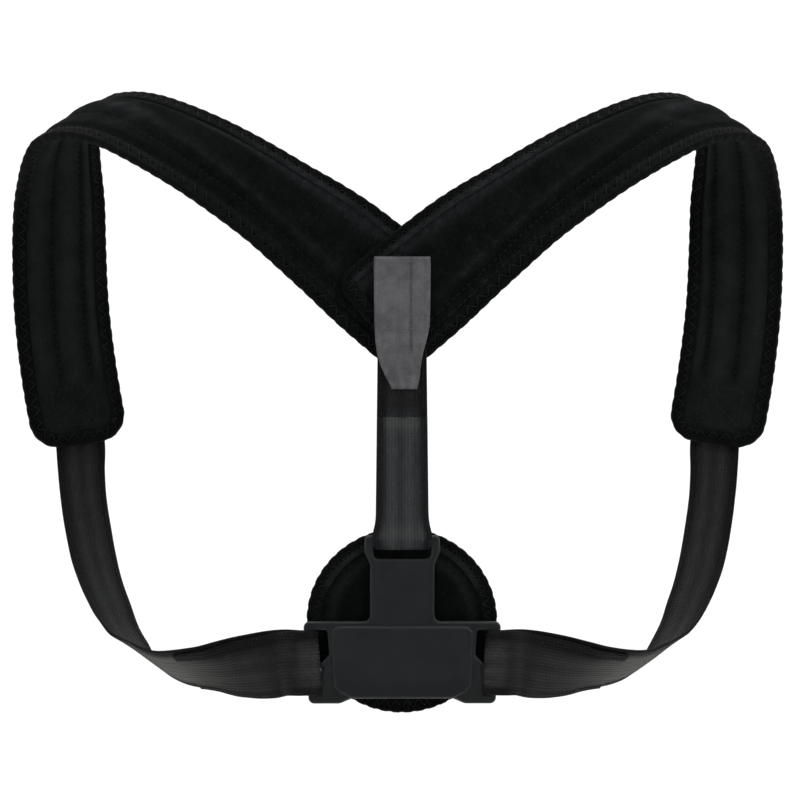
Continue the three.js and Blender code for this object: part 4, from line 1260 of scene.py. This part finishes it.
def pillow_plate(work, loop, outs, front, back, bevel, crown, lift):
    """A plate with rounded edges and a slightly domed front, in a bmesh."""
    angles = np.linspace(0, math.pi / 2, BEVEL_STEPS + 3)
    inner = loop - outs * bevel
    middle = inner.mean(axis=0)
    rings = []
    for face, half, dome in ((1, back, 0.0), (-1, front, crown)):
        part = []
        for a in angles:
            flat = loop - outs * bevel * (1 - math.cos(a))
            part.append((flat, np.full(len(loop), face * (half - bevel * (1 - math.sin(a))))))
        for share in DOME_SHARES:
            height = face * (half + dome * (1 - share**3))
            part.append((middle + (inner - middle) * share, np.full(len(loop), height)))
        rings.append(part)
    ordered = rings[0][::-1] + rings[1]
    made = [
        [work.verts.new((np.array([x, h, z]) + lift) * MM) for (x, z), h in zip(flat, height)]
        for flat, height in ordered
    ]
    join_rings(work, made, (0, 3, 2, 1))
    work.faces.new(made[0])
    work.faces.new(made[-1][::-1])


def object_from(work, name):
    bmesh.ops.recalc_face_normals(work, faces=work.faces)
    mesh = bpy.data.meshes.new(name)
    work.to_mesh(mesh)
    work.free()
    return add_object(name, mesh)


def mark_edges(mesh):
    """Marks the rounded edges of a moulding for a painted highlight."""
    painted_highlight = mesh.attributes.new("painted_highlight", "FLOAT", "CORNER")
    for polygon in mesh.polygons:
        flat = abs(polygon.normal.y) > FLAT_FACING
        for i in polygon.loop_indices:
            sideways = 1 - abs(mesh.vertices[mesh.loops[i].vertex_index].normal.y)
            painted_highlight.data[i].value = 0.0 if flat else min(1.0, 2.5 * sideways)


def buckle():
    lift = np.array([0.0, BUCKLE_PLANE, -BACK_LENGTH])
    outline = rounded_loop(both_halves(BUCKLE_SIDE))
    right_slot = corners_of(SIDE_SLOT)[::-1]
    left_slot = mirrored(right_slot)[::-1]
    top_slot = corners_of(TOP_SLOT)[::-1]
    slots = map(rounded_loop, (right_slot, left_slot, top_slot))
    # The plastic lies outside a slot's loop, so its directions are turned round
    holes = [(loop, -outs) for loop, outs in slots]
    work = bmesh.new()
    bevelled_plate(work, [outline, *holes], BUCKLE_THICKNESS / 2, EDGE_BEVEL, lift)
    plate = object_from(work, "buckle")
    work = bmesh.new()
    loop, outs = rounded_loop(both_halves(BUCKLE_BODY))
    front = BUCKLE_THICKNESS / 2 + BUCKLE_BODY_RISE - 0.2
    back = BUCKLE_THICKNESS / 2 + BUCKLE_SEAT
    pillow_plate(work, loop, outs, front, back, BODY_BEVEL, BODY_DOME, lift)
    body = object_from(work, "buckle_body")
    join = plate.modifiers.new("union", "BOOLEAN")
    join.operation = "UNION"
    join.solver = "EXACT"
    join.object = body
    whole = bpy.data.meshes.new_from_object(plate.evaluated_get(bpy.context.evaluated_depsgraph_get()))
    plate.modifiers.clear()
    plate.data = whole
    mark_edges(whole)
    bpy.data.objects.remove(body)
    show(plate, "buckle_plastic", "back_buckle")


# The back pad

DISC_POINTS = 220
DISC_RINGS = 30
DISC_STITCH_PERIOD = 6.0


def back_pad():
    angle = np.linspace(0, 2 * math.pi, DISC_POINTS, endpoint=False)[None, :]
    reach = np.sin(np.linspace(0.02, math.pi / 2, DISC_RINGS))[:, None]
    inset = (1 - reach) * min(BACK_PAD_WIDTH, BACK_PAD_HEIGHT) / 2
    crown = (BACK_PAD_THICKNESS - LIP_THICKNESS) / 2
    pillow = smooth_step(inset, PILLOW_START, PILLOW_START + 9) * (0.82 + 0.18 * smooth_step(inset, 8, 22))
    x = BACK_PAD_WIDTH / 2 * reach * np.cos(angle)
    z = BACK_PAD_HEIGHT / 2 * reach * np.sin(angle)
    lumps = 0.3 * ripple(x, z, 2.2, 11)
    height = HALF_LIP + crown * pillow + np.minimum(lumps, 0) * pillow
    back, front = (np.stack([x, BACK_PAD_PLANE + h, z], -1) for h in (height, -height))
    lift = np.array([0, 0, BACK_PAD_CENTRE_RISE - BACK_LENGTH])
    points = np.concatenate([front, back[::-1]]).reshape(-1, 3) + lift
    rings = 2 * DISC_RINGS
    faces = ring_faces(rings, DISC_POINTS, capped=False)
    faces.append(list(range(DISC_POINTS)))
    faces.append(list(range((rings - 1) * DISC_POINTS, rings * DISC_POINTS)))
    uv = np.stack([x, z], -1)
    uv = np.concatenate([uv, uv[::-1]]).reshape(-1, 2)
    # Painted sheen on a ring where the pillow's crown catches the light
    sheen = 0.35 * bell(np.broadcast_to(inset, x.shape), 11, 2.5)
    plain = np.zeros(len(points))
    marks = {"sheen": np.concatenate([sheen, sheen[::-1]]), "seam": plain, "lining": plain}
    piece = make_mesh("round_pad", points, faces, uv, marks)
    show(face_out(piece), "pad_cloth", "back_pad")


def back_pad_binding():
    angle = np.linspace(0, 2 * math.pi, 3 * DISC_POINTS, endpoint=False)
    half = np.array([BACK_PAD_WIDTH / 2, BACK_PAD_HEIGHT / 2])
    rim = np.stack([half[0] * np.cos(angle), half[1] * np.sin(angle)], -1)
    normal = unit(np.stack([np.cos(angle) / half[0], np.sin(angle) / half[1]], -1))
    lift = BACK_PAD_CENTRE_RISE - BACK_LENGTH
    point = np.stack([rim[:, 0], np.full(len(rim), BACK_PAD_PLANE), rim[:, 1] + lift], -1)
    away = np.stack([normal[:, 0], np.zeros(len(rim)), normal[:, 1]], -1)
    outward = np.repeat([[0.0, -1.0, 0.0]], len(rim), axis=0)
    run = distances(point)
    bind_edge("round_pad_binding", "back_pad_binding", point, away, outward, run, DISC_STITCH_PERIOD)


# The assembly

materials = {
    "pad_cloth": pad_cloth(),
    "binding_tape": binding_tape(),
    "black_webbing": webbing(
        "black_webbing",
        lane=(0.0165, 0.0178, 0.017),
        edge=(0.0042, 0.0048, 0.0046),
        pale=(0.12, 0.12, 0.113),
        selvedge=0.0046,
        lane_period=0.0082,
        lane_phase=-math.pi / 2,
        roughness=0.62,
    ),
    "grey_webbing": webbing(
        "grey_webbing",
        lane=(0.033, 0.0345, 0.0365),
        edge=(0.0068, 0.0076, 0.009),
        pale=(0.085, 0.088, 0.085),
        selvedge=0.004,
        lane_period=0.0085,
        lane_phase=-1.0,
        roughness=0.65,
    ),
    "tab_cloth": tab_cloth(),
    "thread": thread("black_thread", (0.0058, 0.0066, 0.007)),
    "grey_thread": thread("grey_thread", (0.12, 0.12, 0.125)),
    "buckle_plastic": buckle_plastic(),
}

for word, side in SIDES.items():
    shoulder_pad(word, side)
    bind_edge(f"{word}_binding", f"{word}_pad_binding", *pad_outline(side))
    pad_seams(word, side)
    side_strap(word, side)
centre_strap()
centre_tab()
back_pad()
back_pad_binding()
buckle()

# The camera, at the photograph's angle: behind the wearer and level with the middle of the piece

CAMERA_DISTANCE = 1.5
FRAME_WIDTH_AT_YOKE = 0.4
AIM = Vector((-0.00095, YOKE_PLANE * MM, -0.1464))
CAMERA_SIDE = -0.024


def point_at(item, place, aim):
    item.location = place
    item.rotation_mode = "QUATERNION"
    item.rotation_quaternion = (Vector(aim) - Vector(place)).to_track_quat("-Z", "Y")


def add_camera():
    data = bpy.data.cameras.new("camera")
    data.sensor_width = 36
    data.lens = data.sensor_width * CAMERA_DISTANCE / FRAME_WIDTH_AT_YOKE
    camera = add_object("camera", data)
    point_at(camera, (CAMERA_SIDE, AIM.y - CAMERA_DISTANCE, AIM.z), AIM)
    bpy.context.scene.camera = camera


def add_area(name, place, aim, size, power):
    data = bpy.data.lights.new(name, "AREA")
    data.shape = "DISK"
    data.size = size
    data.energy = power
    point_at(add_object(name, data), place, aim)


FLOOR_HEIGHT = -0.62
FLOOR_REACH = 2.4
CURVE_RADIUS = 1.0
WALL_HEIGHT = 4.2
STUDIO_SIDES = 96
STUDIO_WHITE = (0.86, 0.86, 0.86)
SKY_STRENGTH = 0.5
CURVE_STEPS = 14


def add_studio():
    """A pale round floor that curves up into a wall all round."""
    profile = [(0.25, 0.0), (1.2, 0.0), (FLOOR_REACH, 0.0)]
    for i in range(1, CURVE_STEPS + 1):
        angle = math.pi / 2 * i / CURVE_STEPS
        profile.append((FLOOR_REACH + CURVE_RADIUS * math.sin(angle), CURVE_RADIUS * (1 - math.cos(angle))))
    profile.append((FLOOR_REACH + CURVE_RADIUS, WALL_HEIGHT))
    around = np.linspace(0, 2 * math.pi, STUDIO_SIDES, endpoint=False)
    reach, height = np.array(profile).T
    points = np.stack(
        [
            reach[:, None] * np.cos(around),
            reach[:, None] * np.sin(around),
            np.broadcast_to((height + FLOOR_HEIGHT)[:, None], (len(reach), STUDIO_SIDES)),
        ],
        -1,
    )
    faces = ring_faces(len(reach), STUDIO_SIDES, capped=False)
    faces.append(list(range(STUDIO_SIDES))[::-1])
    studio = make_mesh("studio", points.reshape(-1, 3) / MM, faces)
    studio.data.materials.append(Shader("studio_white", STUDIO_WHITE, 0.9).material)


def add_world():
    world = bpy.data.worlds.new("studio")
    bpy.context.scene.world = world
    world.use_nodes = True
    background = world.node_tree.nodes["Background"]
    background.inputs["Color"].default_value = (1, 1, 1, 1)
    background.inputs["Strength"].default_value = SKY_STRENGTH


# Each light's name, place, aim, size in metres and power in watts
LIGHTS = (
    ("key", (1.1, -1.4, 1.35), (0, 0, -0.12), 0.9, 17),
    ("fill", (-1.5, -1.5, 0.2), (0, 0, -0.15), 1.4, 5),
    ("top", (0, 0.1, 1.9), (0, 0, -0.1), 1.4, 15),
    ("backdrop", (0, 1.1, 1.9), (0, 3.4, -0.1), 2.0, 45),
)

add_camera()
add_studio()
add_world()
for light in LIGHTS:
    add_area(*light)
bpy.context.scene.view_settings.view_transform = "Standard"
bpy.context.scene.view_settings.look = "None"
